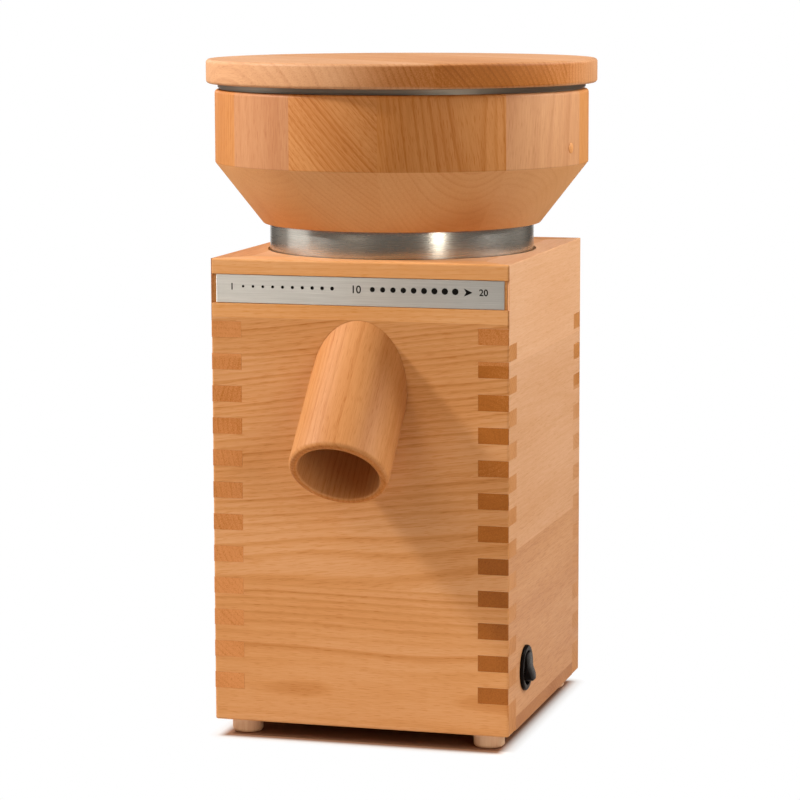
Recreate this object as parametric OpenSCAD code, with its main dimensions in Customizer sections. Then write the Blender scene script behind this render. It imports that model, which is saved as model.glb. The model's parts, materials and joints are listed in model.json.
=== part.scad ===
// Electric grain mill in a finger-jointed beech case.
// The origin is on the floor under the middle of the whole mill, +Z is up and the spout faces -Y.
// The mill axis, on which the stones, motor and hopper turn, stands mill_y behind the origin.
// The screw thread between hopper and mill chamber is drawn as plain cylinders.

/* [Case] */
// Width of the case over its side walls
case_w = 176; // [170:1:215]
// Depth of the case over its front and back walls
case_d = 184; // [178:1:225]
// Height of the case without its feet
case_h = 270; // [264:1:330]
// Thickness of the four walls
wall_t = 18; // [15:0.5:20]
// Thickness of the top board between the walls
top_t = 18; // [15:0.5:22]
// Thickness of the base board
base_t = 8; // [6:0.5:12]
// Number of fingers of each side wall at each corner
finger_count = 12; // [6:1:16]
// Plain edge of the front wall below the first finger
finger_start = 19; // [12:0.5:30]
// Mitred stretch of each corner above the last finger, about
mitre_h = 36; // [30:1:50]
// Radius of the recess in the top that the hopper ring turns in
recess_r = 79.5; // [79:0.5:82]
// Depth of that recess
recess_depth = 10; // [6:0.5:12]
// Number of air slots in the base board
vent_count = 7; // [3:1:9]
// Width of an air slot
vent_w = 5; // [3:0.5:7]
// Wood between two air slots
vent_gap = 7; // [5:0.5:9]
// Length of an air slot
vent_l = 70; // [30:1:90]

/* [Feet] */
// Radius of a foot
foot_r = 9; // [7:0.5:11]
// Height of a foot
foot_h = 9; // [6:0.5:14]
// Distance from the case's left and right faces to a foot's centre
foot_inset = 15; // [14:0.5:16]
// Rounding of a foot's lower edge
foot_edge = 2; // [1:0.5:3]

/* [Scale plate] */
// Length of the scale plate
plate_w = 170; // [120:1:172]
// Height of the scale plate
plate_h = 16.2; // [12:0.1:18]
// Thickness of the scale plate
plate_t = 1; // [0.6:0.1:1.2]
// Depth of the groove that the plate lies in
groove_depth = 1.5; // [1.2:0.1:3]
// Distance from the top of the case down to the plate
plate_drop = 9.1; // [6:0.1:11]

/* [Spout] */
// Outer radius of the spout
spout_r = 28.5; // [28:0.5:30]
// Radius of the spout's bore
spout_bore_r = 23.5; // [20:0.5:24]
// Length of the spout's axis in front of the case
spout_l = 59; // [45:1:75]
// Height above the bottom of the case at which the spout's axis leaves the front
spout_z = 196; // [190:1:198]
// Depth of the spout's seat in the front wall
spout_seat = 10; // [7:0.5:11]
// Rounding of the mouth's outer edge
spout_edge = 3; // [1:0.25:3.25]
// Rounding of the mouth's inner edge
spout_lip = 1.5; // [1:0.25:1.75]

/* [Hopper] */
// Radius of the hopper's upright wall
hopper_r = 110; // [106:1:120]
// Radius of the hopper's lower edge
hopper_foot_r = 82; // [80:1:90]
// Height of the hopper's sloping part
hopper_cone_h = 35.9; // [32:0.1:45]
// Height of the hopper's upright part
hopper_wall_h = 42.5; // [36:0.1:70]
// Gap between the top of the case and the hopper's wood
hopper_lift = 15.7; // [12:0.1:20]
// Thickness of the hopper's upright wall
hopper_t = 13; // [8:0.5:14]
// Rounding of the hopper's rim
hopper_edge = 2; // [1:0.5:3]
// Depth of the upright part of the bowl inside
bowl_drop = 36; // [25:1:36]
// Height of the throat's upper edge above the hopper's bottom
throat_h = 8.3; // [6:0.1:12]
// Radius of the throat
throat_r = 24; // [20:0.5:26]
// Outer radius of the steel ring under the hopper
ring_r = 78; // [77:0.5:78.5]
// Thickness of the steel ring
ring_t = 1.2; // [0.8:0.1:2]
// Depth to which the ring dips into its recess
ring_dip = 7.5; // [4:0.5:8]
// Radius of the index mark on the hopper
index_r = 3; // [1.5:0.5:5]
// Angle of the index mark from the front towards the right side
index_angle = 77.5; // [40:0.5:90]
// Height of the index mark above the corner between the hopper's cone and wall
index_up = 10; // [6:1:34]

/* [Lid] */
// Radius of the lid
lid_r = 115; // [112:1:125]
// Thickness of the lid's board
lid_t = 13.1; // [10:0.1:18]
// Rounding of the lid's edges
lid_edge = 2; // [1:0.5:4]
// Height of the steel band between hopper and lid
band_h = 4.3; // [3:0.1:8]
// Step from the hopper's wall in to the steel band
band_step = 1.8; // [1:0.1:4]
// Thickness of the steel band
band_t = 1.6; // [0.8:0.1:2]
// Depth of the lid's spigot in the bowl
spigot_h = 7; // [4:0.5:12]
// Running gap round the lid's spigot
lid_gap = 0.5; // [0.3:0.1:1.5]

/* [Mill chamber] */
// Radius of the threaded bore
thread_r = 56; // [55:0.5:57]
// Play between the threads
thread_gap = 0.3; // [0.3:0.05:0.4]
// Wall of the chamber
chamber_t = 8; // [7:0.5:8.5]
// Radius of the cup that the lower stone turns in
cup_r = 47; // [46.5:0.25:47.5]
// Depth of the cup below its shelf
cup_depth = 22; // [21:0.5:26]
// Distance from the underside of the top board down to the shelf
shelf_drop = 23; // [21:0.5:26]
// Thickness of the chamber's floor
chamber_floor = 6; // [5:0.5:8]
// Thickness of the flange that hangs from the top board
flange_t = 8; // [6:0.5:10]
// Inner width of the meal outlet
outlet_w = 36; // [26:1:38]
// Inner height of the meal outlet
outlet_h = 20; // [14:0.5:20.5]
// Wall of the meal outlet
outlet_t = 4; // [3:0.5:4]

/* [Stones] */
// Radius of both millstones
stone_r = 42.5; // [38:0.5:43]
// Height of the lower stone
lower_stone_h = 16; // [14:0.5:17]
// Height of the upper stone
upper_stone_h = 15; // [13:0.5:16]
// Gap between the grinding faces at rest
stone_gap = 1.2; // [1.1:0.1:1.5]
// Radius of the upper stone's eye
eye_r = 14; // [12:0.5:15]
// Number of furrows in each grinding face
furrow_count = 12; // [6:1:16]
// Depth of a furrow
furrow_depth = 0.8; // [0.4:0.1:1.2]
// Width of a furrow
furrow_w = 2.2; // [1:0.1:3]

/* [Motor] */
// Radius of the motor's stator
stator_r = 56; // [54:0.5:57]
// Height of the stator's steel stack
stator_h = 48; // [40:1:56]
// Radius of the rotor
rotor_r = 28; // [25:0.5:28]
// Air gap between rotor and stator
air_gap = 0.5; // [0.4:0.1:1]
// Room for the windings above and below the stack
winding_room = 16; // [15:0.5:20]
// Height of the lower winding's room above its bell's floor
lower_room = 22; // [20:0.5:24]
// Radius of the motor shaft
shaft_r = 6; // [5:0.25:7]
// Number of fan blades
blade_count = 9; // [5:1:12]
// Radius of the cooling fan
fan_r = 48; // [40:1:52]

/* [Switch] */
// Distance from the case's middle to the switch, towards the front
switch_y = 52; // [48:1:55]
// Height of the switch's centre above the bottom of the case
switch_z = 32.3; // [32:0.1:50]
// Radius of the switch's bezel
bezel_r = 13.3; // [13:0.1:14.5]
// Thickness of the switch's bezel
bezel_t = 2; // [1.5:0.1:3]
// Radius of the switch's barrel
barrel_r = 11; // [10.5:0.1:11.5]
// Depth of the barrel behind the case's face
barrel_l = 24; // [20:1:28]
// Angle that the pressed rocker stands off upright
rocker_tilt = 12; // [8:1:12]
// Radius of the rocker's hinge pins
rocker_pin_r = 1.2; // [0.8:0.1:1.5]

/* [Electrics] */
// Radius of the motor capacitor
capacitor_r = 15; // [12:0.5:15]
// Height of the motor capacitor
capacitor_h = 62; // [50:1:75]
// Radius of the bore in the cord gland
gland_bore_r = 3.8; // [3:0.1:4.5]
// Outer radius of the cord gland's collar
gland_collar_r = 10; // [9:0.5:13]
// Radius of the inner leads' insulation
lead_r = 1.6; // [1:0.1:2]

/* [Fits] */
// Gap of screws, pins and dry fits in their holes
fit_gap = 0.05; // [0.02:0.01:0.1]
// Gap between pieces that pass or rest on each other
free_gap = 0.3; // [0.25:0.05:0.4]

/* [Hidden] */

$fn = 96;
through = 1;     // how far a cut runs past the face it opens

// heights from the floor up
case_z0 = foot_h;
case_z1 = foot_h + case_h;
base_z = case_z0 + base_t;
under_z = case_z1 - top_t;
recess_z = case_z1 - recess_depth;
finger_h = round(100 * (case_h - finger_start - mitre_h) / (2 * finger_count - 1)) / 100;
mitre_z = case_z0 + finger_start + (2 * finger_count - 1) * finger_h;
plate_z = case_z1 - plate_drop - plate_h;
hopper_z = case_z1 + hopper_lift;
hopper_mid_z = hopper_z + hopper_cone_h;
rim_z = hopper_mid_z + hopper_wall_h;
band_z = rim_z + free_gap;
lid_z = band_z + band_h;
spout_axis_z = case_z0 + spout_z;
switch_axis_z = case_z0 + switch_z;

// plan sizes about the mill axis
half_w = case_w / 2;
half_d = case_d / 2;
in_w = half_w - wall_t;
in_d = half_d - wall_t;
foot_x = half_w - foot_inset;
foot_y = in_d + 3;                              // the feet's screws go up into the front and back walls
spout_reach = half_d + (spout_l + spout_r - 2 * spout_edge) * sin(45) + spout_edge;
mill_y = round(50 * (spout_reach - lid_r)) / 100;
bore_relief = 1;                                // how much wider the bore is in the front wall
bore_step = ceil(spout_bore_r + bore_relief - spout_seat / sin(45));

// mill chamber and stones
carrier_h = 14;                                 // height of the lower stone above the chamber's floor
carrier_gap = 1;                                // gap between that floor and the turning sweeps
shelf_z = under_z - shelf_drop;
cup_z = shelf_z - cup_depth;
chamber_z = cup_z - chamber_floor;
chamber_r = thread_r + chamber_t;
lower_stone_z = cup_z + carrier_h;
lower_face_z = lower_stone_z + lower_stone_h;
upper_face_z = lower_face_z + stone_gap;
upper_top_z = upper_face_z + upper_stone_h;
stone_bed = 8;                                  // height of the lower stone's clamped ring
stone_bolt_r = 3;
washer_t = 2;
hub_r = 13;                                     // the lower carrier's hub
pin_r = 2;                                      // the pin that drives it
dowel_r = 2.5;
dowel_l = 8;
dowel_ring_r = 26;
carrier_plate_t = 3.8;
carrier_top_z = upper_top_z + carrier_plate_t;
carrier_r = thread_r - free_gap;
rib_r = thread_r - 2.5;                         // inner radius of the keys that hold the upper carrier
rib_w = 6;
rib_h = 10.5;
rib_angles = [90, 210, 330];
spring_angles = [30, 150, 270];
shoe_z = shelf_z + 8.5;                         // underside of the upper carrier's flange
shoe_t = 3.7;
shoe_r = stone_r + 3.5;                         // inner radius of the upper carrier's flange
sleeve_z = shoe_z + shoe_t + free_gap;
sleeve_r = thread_r - thread_gap;
sleeve_t = 6;
funnel_t = 3;
funnel_end_r = eye_r + 1;
plate_eye_r = eye_r + 2;
lip_z = upper_face_z + 1.8;                     // lower edge of the carrier's grip on the upper stone
outlet_step = 6;                                // height of the chamber's wall over its meal outlet's roof

// springs
spring_r = 3.1;
spring_wire = 0.45;
spring_turns = 4;
spring_seat_r = (thread_r + cup_r) / 2;

// motor
bearing_r = 16;
bearing_h = 10;
boss_r = 21;
bell_t = 6;
bell_r = stator_r + 4;
bell_lip = 10;                                  // how far each bell grips the stator
bell_shoulder = 3;
motor_top_z = chamber_z;
bell_under_z = motor_top_z - bell_t;
stator_top_z = bell_under_z - winding_room;
stator_z = stator_top_z - stator_h;
bell_floor_z = stator_z - lower_room;
bell_bottom_z = bell_floor_z - bell_t;
bolt_ring_r = stator_r - 6;
bolt_r = 2.5;
bolt_head_r = 4.25;
bolt_head_h = 4;
bolt_bite = 3;                                  // how far the through bolts go into the upper bell
air_hole_r = 5;
air_hole_ring_r = 34;
slot_count = 12;
slot_r = 3.2;
slot_ring_r = 38;
winding_r0 = 33;
winding_r1 = 45;
winding_h = 8;
fan_h = 12;
fan_z = bell_bottom_z - bolt_head_h - 2 - fan_h;
shaft_z = fan_z - 2;
flange_screw_ring_r = 30;
flange_head_h = 3;
flange_screw_z = cup_z - flange_head_h - free_gap;
seal_r = 11.3;

// switch
web_t = 4;                                      // wood left in front of the switch's inner pocket
pocket_r = 19;
tab_t = 3;                                      // the two snap tabs that grip behind the web
rocker_r = 8.8;
rocker_room = 1.2;                              // gap round the rocker's ends, which swing in and out
rocker_w = 14;
rocker_pivot = 3.5;                             // depth of the rocker's pivot behind the bezel's face

// screws
screw_r = 1.75;
wood_screw_r = 2.2;
head_r = 4;
head_h = 2.5;
chamber_screw_x = in_w - 10;
chamber_screw_y = in_d - 10;
hopper_screw_ring_r = 67;
hopper_bite = 14;
index_l = 6;                                    // length of the index mark's peg
base_screw_x = half_w - wall_t / 2;
base_screw_l = 28;
foot_sink = head_h + 1.5;                       // depth of the bore in a foot that hides its screw
wood_bite = 12;                                 // how far a screw goes into the wood
base_screw_y0 = -switch_y + pocket_r + 7;       // the first screw stands clear of the switch's pocket
base_screw_y1 = in_d - 14;
base_screw_y = [base_screw_y0, (base_screw_y0 + base_screw_y1) / 2, base_screw_y1];

// electrics
capacitor_x = -(in_w - capacitor_r - 2);
capacitor_y = in_d - capacitor_r - 2;
clip_t = 1.6;
clip_z = base_z + 24;
clip_h = 12;
block_x = in_w - 26;
block_y = in_d - 22;
block_l = 32;
block_w = 16;
block_h = 16;
block_pitch = 6;
blade_t = 0.8;                                  // push-on blades of the switch and the capacitor
blade_w = 6.2;
blade_l = 8;
blade_pitch = 6;
tab_reach = 5;
gland_x = 30;
gland_z = case_z0 + 30;
gland_r = 7;
gland_collar_t = 2.5;
gland_nut_t = 5;

function arc(cx, cz, r, a0, a1, steps = 6) =
    [for (i = [0 : steps]) let (a = a0 + (a1 - a0) * i / steps) [cx + r * cos(a), cz + r * sin(a)]];

// Places children on the mill axis, at a height above the floor.
module on_axis(z = 0) {
    translate([0, mill_y, z]) children();
}

// Puts one child at each corner of a rectangle about the mill axis.
module at_corners(x, y, z) {
    for (sx = [-1, 1], sy = [-1, 1]) translate([sx * x, mill_y + sy * y, z]) children();
}

// Puts one child at each of count places round the mill axis.
module around(count, r, z, start = 0) {
    for (i = [0 : count - 1])
        on_axis(z) rotate([0, 0, start + 360 * i / count]) translate([r, 0, 0]) children();
}

module tube(r_out, r_in, h) {
    difference() {
        cylinder(r = r_out, h = h);
        translate([0, 0, -through]) cylinder(r = r_in, h = h + 2 * through);
    }
}

// A screw that points up, with its head's underside at z = 0.
module screw(r, l, r_head = head_r, h_head = head_h) {
    cylinder(r = r, h = l, $fn = 32);
    translate([0, 0, -h_head]) difference() {
        cylinder(r = r_head, h = h_head, $fn = 32);
        translate([0, 0, -through]) cylinder(r = r_head / 2.2, h = h_head / 2 + through, $fn = 6);
    }
}

// The hole for that screw, with room for the head when it is sunk.
module screw_hole(r, l, sink = 0, r_head = head_r) {
    translate([0, 0, -through]) cylinder(r = r + fit_gap, h = l + through + 0.5, $fn = 32);
    if (sink > 0) translate([0, 0, -sink]) cylinder(r = r_head + 0.2, h = sink, $fn = 32);
}

// ---- case ----

// The spout's own frame: +Z runs down and out along its bore.
module along_spout() {
    translate([0, mill_y - half_d, spout_axis_z]) rotate([135, 0, 0]) children();
}

module spout_hole() {
    reach = 90;
    intersection() {
        along_spout() cylinder(r = spout_r + fit_gap * 2, h = 2 * reach, center = true);
        translate([-half_w, mill_y - half_d - through, 0])
            cube([case_w, spout_seat + through, case_z1]);
    }
    along_spout() cylinder(r = spout_bore_r + bore_relief, h = 2 * reach, center = true);
}

module recess_cut() {
    on_axis(recess_z) cylinder(r = recess_r, h = recess_depth + through, $fn = 180);
}

// The wall that faces -Y, without its holes: sockets for the side walls' fingers, mitred above them.
module end_wall() {
    difference() {
        translate([-half_w, mill_y - half_d, case_z0]) cube([case_w, wall_t, mitre_z - case_z0]);
        for (side = [-1, 1], i = [0 : finger_count - 1])
            translate([side * (in_w + wall_t / 2 + through / 2), mill_y - in_d - wall_t / 2,
                       case_z0 + finger_start + (2 * i + 0.5) * finger_h])
                cube([wall_t + through, wall_t + 2 * through, finger_h], center = true);
    }
    translate([0, mill_y, mitre_z]) linear_extrude(case_z1 - mitre_z)
        polygon([[-half_w, -half_d], [half_w, -half_d], [in_w, -in_d], [-in_w, -in_d]]);
}

// The wall that faces +X, without its holes.
module side_wall() {
    difference() {
        translate([in_w, mill_y - half_d, base_z]) cube([wall_t, case_d, mitre_z - base_z]);
        for (side = [-1, 1]) {
            corner_y = mill_y + side * (in_d + wall_t / 2 + through / 2);
            plain_h = finger_start - base_t;
            translate([in_w + wall_t / 2, corner_y, base_z + (plain_h - through) / 2])
                cube([wall_t + 2 * through, wall_t + through, plain_h + through], center = true);
            for (i = [0 : finger_count - 2])
                translate([in_w + wall_t / 2, corner_y,
                           case_z0 + finger_start + (2 * i + 1.5) * finger_h])
                    cube([wall_t + 2 * through, wall_t + through, finger_h], center = true);
        }
    }
    translate([0, mill_y, mitre_z]) linear_extrude(case_z1 - mitre_z)
        polygon([[half_w, -half_d], [half_w, half_d], [in_w, in_d], [in_w, -in_d]]);
}

module base_screw_holes() {
    for (sx = [-1, 1], y = base_screw_y)
        translate([sx * base_screw_x, mill_y + y, case_z0 + head_h])
            screw_hole(screw_r, base_screw_l, head_h + through);
}

module foot_screw_holes() {
    at_corners(foot_x, foot_y, case_z0) screw_hole(screw_r, wood_bite);
}

module front_panel() {
    color("#d2935a") difference() {
        end_wall();
        spout_hole();
        recess_cut();
        foot_screw_holes();
        translate([-half_w - through, mill_y - half_d - through, plate_z - free_gap])
            cube([case_w + 2 * through, groove_depth + through, plate_h + 2 * free_gap]);
    }
}

module back_panel() {
    color("#d2935a") difference() {
        translate([0, 2 * mill_y, 0]) mirror([0, 1, 0]) end_wall();
        recess_cut();
        foot_screw_holes();
        translate([gland_x, mill_y + in_d - through, gland_z]) rotate([-90, 0, 0])
            cylinder(r = gland_r + fit_gap, h = wall_t + 2 * through);
        translate([capacitor_x, mill_y + in_d, clip_z + clip_h / 2]) rotate([-90, 0, 0])
            cylinder(r = screw_r + fit_gap, h = wood_bite, $fn = 32);
    }
}

module left_panel() {
    color("#dba775") difference() {
        mirror([1, 0, 0]) side_wall();
        recess_cut();
        base_screw_holes();
    }
}

module right_panel() {
    color("#dba775") difference() {
        side_wall();
        recess_cut();
        base_screw_holes();
        translate([in_w - through, mill_y - switch_y, switch_axis_z]) rotate([0, 90, 0]) {
            cylinder(r = barrel_r + 2 * fit_gap, h = wall_t + 2 * through);
            cylinder(r = pocket_r, h = wall_t - web_t + through);
        }
    }
}

module top_panel() {
    color("#d79a62") difference() {
        translate([-in_w, mill_y - in_d, under_z]) cube([2 * in_w, 2 * in_d, top_t]);
        recess_cut();
        on_axis(under_z - through) cylinder(r = chamber_r + free_gap, h = top_t + 2 * through, $fn = 180);
        at_corners(chamber_screw_x, chamber_screw_y, under_z) screw_hole(wood_screw_r, wood_bite);
    }
}

module base_board() {
    color("#b98754") difference() {
        translate([-half_w, mill_y - in_d, case_z0]) cube([case_w, 2 * in_d, base_t]);
        for (i = [0 : vent_count - 1])
            translate([(i - (vent_count - 1) / 2) * (vent_w + vent_gap) - vent_w / 2,
                       mill_y - vent_l / 2, case_z0 - through])
                cube([vent_w, vent_l, base_t + 2 * through]);
        base_screw_holes();
    }
}

module feet() {
    color("#e3c79c") at_corners(foot_x, foot_y, 0) difference() {
        rotate_extrude() polygon(concat([[0, 0]], arc(foot_r - foot_edge, foot_edge, foot_edge, -90, 0),
                                        [[foot_r, foot_h], [0, foot_h]]));
        translate([0, 0, -through]) cylinder(r = head_r + free_gap, h = foot_sink + through);
        cylinder(r = screw_r + fit_gap, h = foot_h + through, $fn = 32);
    }
}

module foot_screws() {
    color("silver") at_corners(foot_x, foot_y, foot_sink)
        screw(screw_r, foot_h - foot_sink + wood_bite);
}

module base_screws() {
    color("silver") for (sx = [-1, 1], y = base_screw_y)
        translate([sx * base_screw_x, mill_y + y, case_z0 + head_h]) screw(screw_r, base_screw_l);
}

module scale_plate() {
    color("#b9bab6") translate([-plate_w / 2, mill_y - half_d + groove_depth - plate_t, plate_z])
        cube([plate_w, plate_t, plate_h]);
}

module spout() {
    inner = 70;
    color("#dd9a68") difference() {
        along_spout() rotate_extrude() polygon(concat(
            [[spout_bore_r + bore_relief, -inner], [spout_r, -inner]],
            arc(spout_r - spout_edge, spout_l - spout_edge, spout_edge, 0, 90),
            arc(spout_bore_r + spout_lip, spout_l - spout_lip, spout_lip, 90, 180),
            [[spout_bore_r, bore_step], [spout_bore_r + bore_relief, bore_step]]));
        translate([-half_w, mill_y - half_d + spout_seat, 0]) cube([case_w, 2 * inner, case_z1]);
    }
}

module cord_gland() {
    color("#2b2b2b") translate([gland_x, mill_y + half_d, gland_z]) rotate([90, 0, 0]) difference() {
        union() {
            cylinder(r = gland_r, h = wall_t + gland_nut_t + 4);
            translate([0, 0, -gland_collar_t]) cylinder(r = gland_collar_r, h = gland_collar_t);
        }
        translate([0, 0, -gland_collar_t - through]) cylinder(r = gland_bore_r, h = 2 * wall_t);
    }
}

module gland_nut() {
    color("#2b2b2b") translate([gland_x, mill_y + in_d, gland_z]) rotate([90, 0, 0]) difference() {
        cylinder(r = gland_collar_r, h = gland_nut_t, $fn = 6);
        translate([0, 0, -through]) cylinder(r = gland_r + fit_gap, h = gland_nut_t + 2 * through);
    }
}

// ---- switch ----

// The switch's own frame: +Z points out of the right wall, +X points down.
module at_switch() {
    translate([half_w, mill_y - switch_y, switch_axis_z]) rotate([0, 90, 0]) children();
}

module switch_body() {
    tab_w = 6;
    tab_h = 8;
    bezel_edge = 1.2;
    cavity_h = 11;
    color("#1c1c1c") at_switch() {
        difference() {
            union() {
                rotate_extrude() polygon(concat(
                    [[0, -barrel_l], [barrel_r, -barrel_l], [barrel_r, 0], [bezel_r, 0]],
                    arc(bezel_r - bezel_edge, bezel_t - bezel_edge, bezel_edge, 0, 90), [[0, bezel_t]]));
                for (s = [-1, 1]) translate([-tab_w / 2, s * barrel_r - tab_t / 2, -web_t - tab_h])
                    cube([tab_w, tab_t, tab_h - fit_gap]);
            }
            translate([0, 0, bezel_t - cavity_h]) intersection() {
                cylinder(r = rocker_r + rocker_room, h = cavity_h + through);
                cube([3 * rocker_r, rocker_w + 0.8, 3 * cavity_h], center = true);
            }
            at_rocker_pivot() rocker_pins(rocker_pin_r + fit_gap, 2 * fit_gap);
        }
    }
}

module switch_terminals() {
    color("#c9a24a") at_switch()
        for (i = [-1 : 1]) translate([i * blade_pitch - blade_t / 2, -blade_w / 2, -barrel_l - blade_l])
            cube([blade_t, blade_w, blade_l]);
}

module at_rocker_pivot() {
    translate([0, 0, bezel_t - rocker_pivot]) children();
}

module rocker_pins(r, gap) {
    rotate([90, 0, 0]) cylinder(r = r, h = rocker_w + 3 + gap, center = true, $fn = 32);
}

// Seen along its pins: two faces that meet in a shallow valley, the lower one standing out.
module switch_rocker() {
    half = rocker_r;
    crown = rocker_pivot + 2.4;
    color("#151515") at_switch() at_rocker_pivot() rotate([0, -rocker_tilt, 0]) {
        intersection() {
            translate([0, rocker_w / 2, 0]) rotate([90, 0, 0]) linear_extrude(rocker_w) polygon([
                [-half + 1.2, -1.6], [-3, -5.2], [3, -5.2], [half - 1.2, -1.6],
                [half - 0.4, crown], [0, crown - 1.2], [-half + 0.4, crown]]);
            translate([0, 0, -10]) cylinder(r = rocker_r, h = 20);
        }
        rocker_pins(rocker_pin_r, 0);
    }
}

// ---- mill chamber ----

module mill_chamber() {
    flange_w = 2 * (in_w - 2);
    flange_d = 2 * (in_d - 2);
    step_z = shelf_z - outlet_t - outlet_step;
    color("#d9d4c4") {
        difference() {
            union() {
                on_axis() rotate_extrude($fn = 180) polygon([
                    [0, chamber_z], [cup_r + chamber_t, chamber_z], [cup_r + chamber_t, step_z],
                    [chamber_r, step_z + 8], [chamber_r, recess_z], [0, recess_z]]);
                translate([-flange_w / 2, mill_y - flange_d / 2, under_z - flange_t])
                    cube([flange_w, flange_d, flange_t]);
                translate([-outlet_w / 2 - outlet_t, mill_y - in_d, cup_z - outlet_t])
                    cube([outlet_w + 2 * outlet_t, in_d, outlet_h + 2 * outlet_t]);
            }
            on_axis(shelf_z) cylinder(r = thread_r, h = recess_z, $fn = 180);
            on_axis(cup_z) cylinder(r = cup_r, h = cup_depth + through, $fn = 180);
            on_axis(chamber_z - through) cylinder(r = seal_r, h = chamber_floor + 2 * through);
            translate([-outlet_w / 2, mill_y - in_d - through, cup_z])
                cube([outlet_w, in_d + through, outlet_h]);
            at_corners(chamber_screw_x, chamber_screw_y, under_z - flange_t)
                screw_hole(wood_screw_r, flange_t);
            around(4, flange_screw_ring_r, flange_screw_z, 45) mirror([0, 0, 1])
                screw_hole(bolt_r, chamber_floor, cup_z - flange_screw_z + through, bolt_head_r);
        }
        for (a = rib_angles) on_axis(shelf_z) rotate([0, 0, a]) intersection() {
            translate([rib_r, -rib_w / 2, 0]) cube([chamber_t, rib_w, rib_h]);
            cylinder(r = thread_r + 1, h = rib_h, $fn = 180);
        }
    }
}

module chamber_screws() {
    color("silver") at_corners(chamber_screw_x, chamber_screw_y, under_z - flange_t)
        screw(wood_screw_r, flange_t + wood_bite, 4.5, 3);
}

module shaft_seal() {
    color("#5a5148") on_axis(chamber_z) tube(seal_r - fit_gap, shaft_r + fit_gap, chamber_floor - 0.5);
}

// ---- motor ----

module vent_windows(z, h, count = 6) {
    around(count, stator_r, z, 30) translate([-10, -9, 0]) cube([20, 18, h]);
}

module motor_flange() {
    color("#a9adb0") difference() {
        on_axis() rotate_extrude($fn = 180) polygon([
            [shaft_r + 2, motor_top_z], [bell_r, motor_top_z], [bell_r, stator_top_z - bell_lip],
            [stator_r + fit_gap, stator_top_z - bell_lip], [stator_r + fit_gap, stator_top_z],
            [stator_r - bell_shoulder, stator_top_z], [stator_r - bell_shoulder, bell_under_z],
            [boss_r, bell_under_z], [boss_r, bell_under_z - bearing_h],
            [bearing_r + fit_gap, bell_under_z - bearing_h], [bearing_r + fit_gap, bell_under_z],
            [shaft_r + 2, bell_under_z]]);
        vent_windows(stator_top_z + 4, winding_room - 8);
        around(4, flange_screw_ring_r, motor_top_z, 45) mirror([0, 0, 1]) screw_hole(bolt_r, bell_t - 1);
        around(4, bolt_ring_r, bell_under_z) screw_hole(bolt_r, bolt_bite);
    }
}

module motor_lower_bell() {
    color("#a9adb0") difference() {
        on_axis() rotate_extrude($fn = 180) polygon([
            [shaft_r + 2, bell_bottom_z], [bell_r, bell_bottom_z], [bell_r, stator_z + bell_lip],
            [stator_r + fit_gap, stator_z + bell_lip], [stator_r + fit_gap, stator_z],
            [stator_r - bell_shoulder, stator_z], [stator_r - bell_shoulder, bell_floor_z],
            [boss_r, bell_floor_z], [boss_r, bell_floor_z + bearing_h],
            [bearing_r + fit_gap, bell_floor_z + bearing_h], [bearing_r + fit_gap, bell_floor_z],
            [shaft_r + 2, bell_floor_z]]);
        vent_windows(bell_floor_z + 4, lower_room - 8);
        around(8, air_hole_ring_r, bell_bottom_z - through, 22.5)
            cylinder(r = air_hole_r, h = bell_t + 2 * through, $fn = 32);
        around(4, bolt_ring_r, bell_bottom_z) screw_hole(bolt_r, bell_t);
    }
}

module motor_stator() {
    color("#8b8f94") difference() {
        on_axis(stator_z) cylinder(r = stator_r, h = stator_h, $fn = 180);
        on_axis(stator_z - through) cylinder(r = rotor_r + air_gap, h = stator_h + 2 * through);
        around(slot_count, slot_ring_r, stator_z - through)
            cylinder(r = slot_r, h = stator_h + 2 * through, $fn = 32);
        around(4, bolt_ring_r, stator_z) screw_hole(bolt_r, stator_h);
    }
}

module motor_windings() {
    color("#b4612c") {
        around(slot_count, slot_ring_r, stator_z - 1) cylinder(r = slot_r - 0.2, h = stator_h + 2, $fn = 32);
        for (z = [stator_z - winding_h, stator_top_z])
            on_axis(z) tube(winding_r1, winding_r0, winding_h);
    }
}

module motor_bolts() {
    color("silver") around(4, bolt_ring_r, bell_bottom_z)
        screw(bolt_r, bell_under_z + bolt_bite - bell_bottom_z, bolt_head_r, bolt_head_h);
}

module flange_screws() {
    color("silver") around(4, flange_screw_ring_r, flange_screw_z, 45) mirror([0, 0, 1])
        screw(bolt_r, flange_screw_z - chamber_z + bell_t - 1, bolt_head_r, flange_head_h);
}

module bearing() {
    groove = 1.2;
    difference() {
        rotate_extrude() polygon([
            [shaft_r + fit_gap, 0], [bearing_r, 0], [bearing_r, bearing_h], [shaft_r + fit_gap, bearing_h]]);
        for (z = [-through, bearing_h - groove])
            translate([0, 0, z]) tube(bearing_r - 2.5, shaft_r + 2.5, groove + through);
    }
}

module upper_bearing() {
    color("#c9ccd0") on_axis(bell_under_z - bearing_h) bearing();
}

module lower_bearing() {
    color("#c9ccd0") on_axis(bell_floor_z) bearing();
}

module motor_shaft() {
    top_z = lower_stone_z + stone_bed - free_gap;
    thread_l = 18;
    color("#cfd2d6") difference() {
        on_axis(shaft_z) cylinder(r = shaft_r, h = top_z - shaft_z);
        on_axis(top_z - thread_l) cylinder(r = stone_bolt_r + fit_gap, h = thread_l + through, $fn = 32);
        drive_pin_shape(pin_r + fit_gap, 3 * hub_r);
    }
}

module rotor_core() {
    color("#9a9ea3") difference() {
        on_axis(stator_z - 4) cylinder(r = rotor_r, h = stator_h + 6);
        on_axis(stator_z - 5) cylinder(r = shaft_r + fit_gap, h = stator_h + 8);
    }
}

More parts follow.
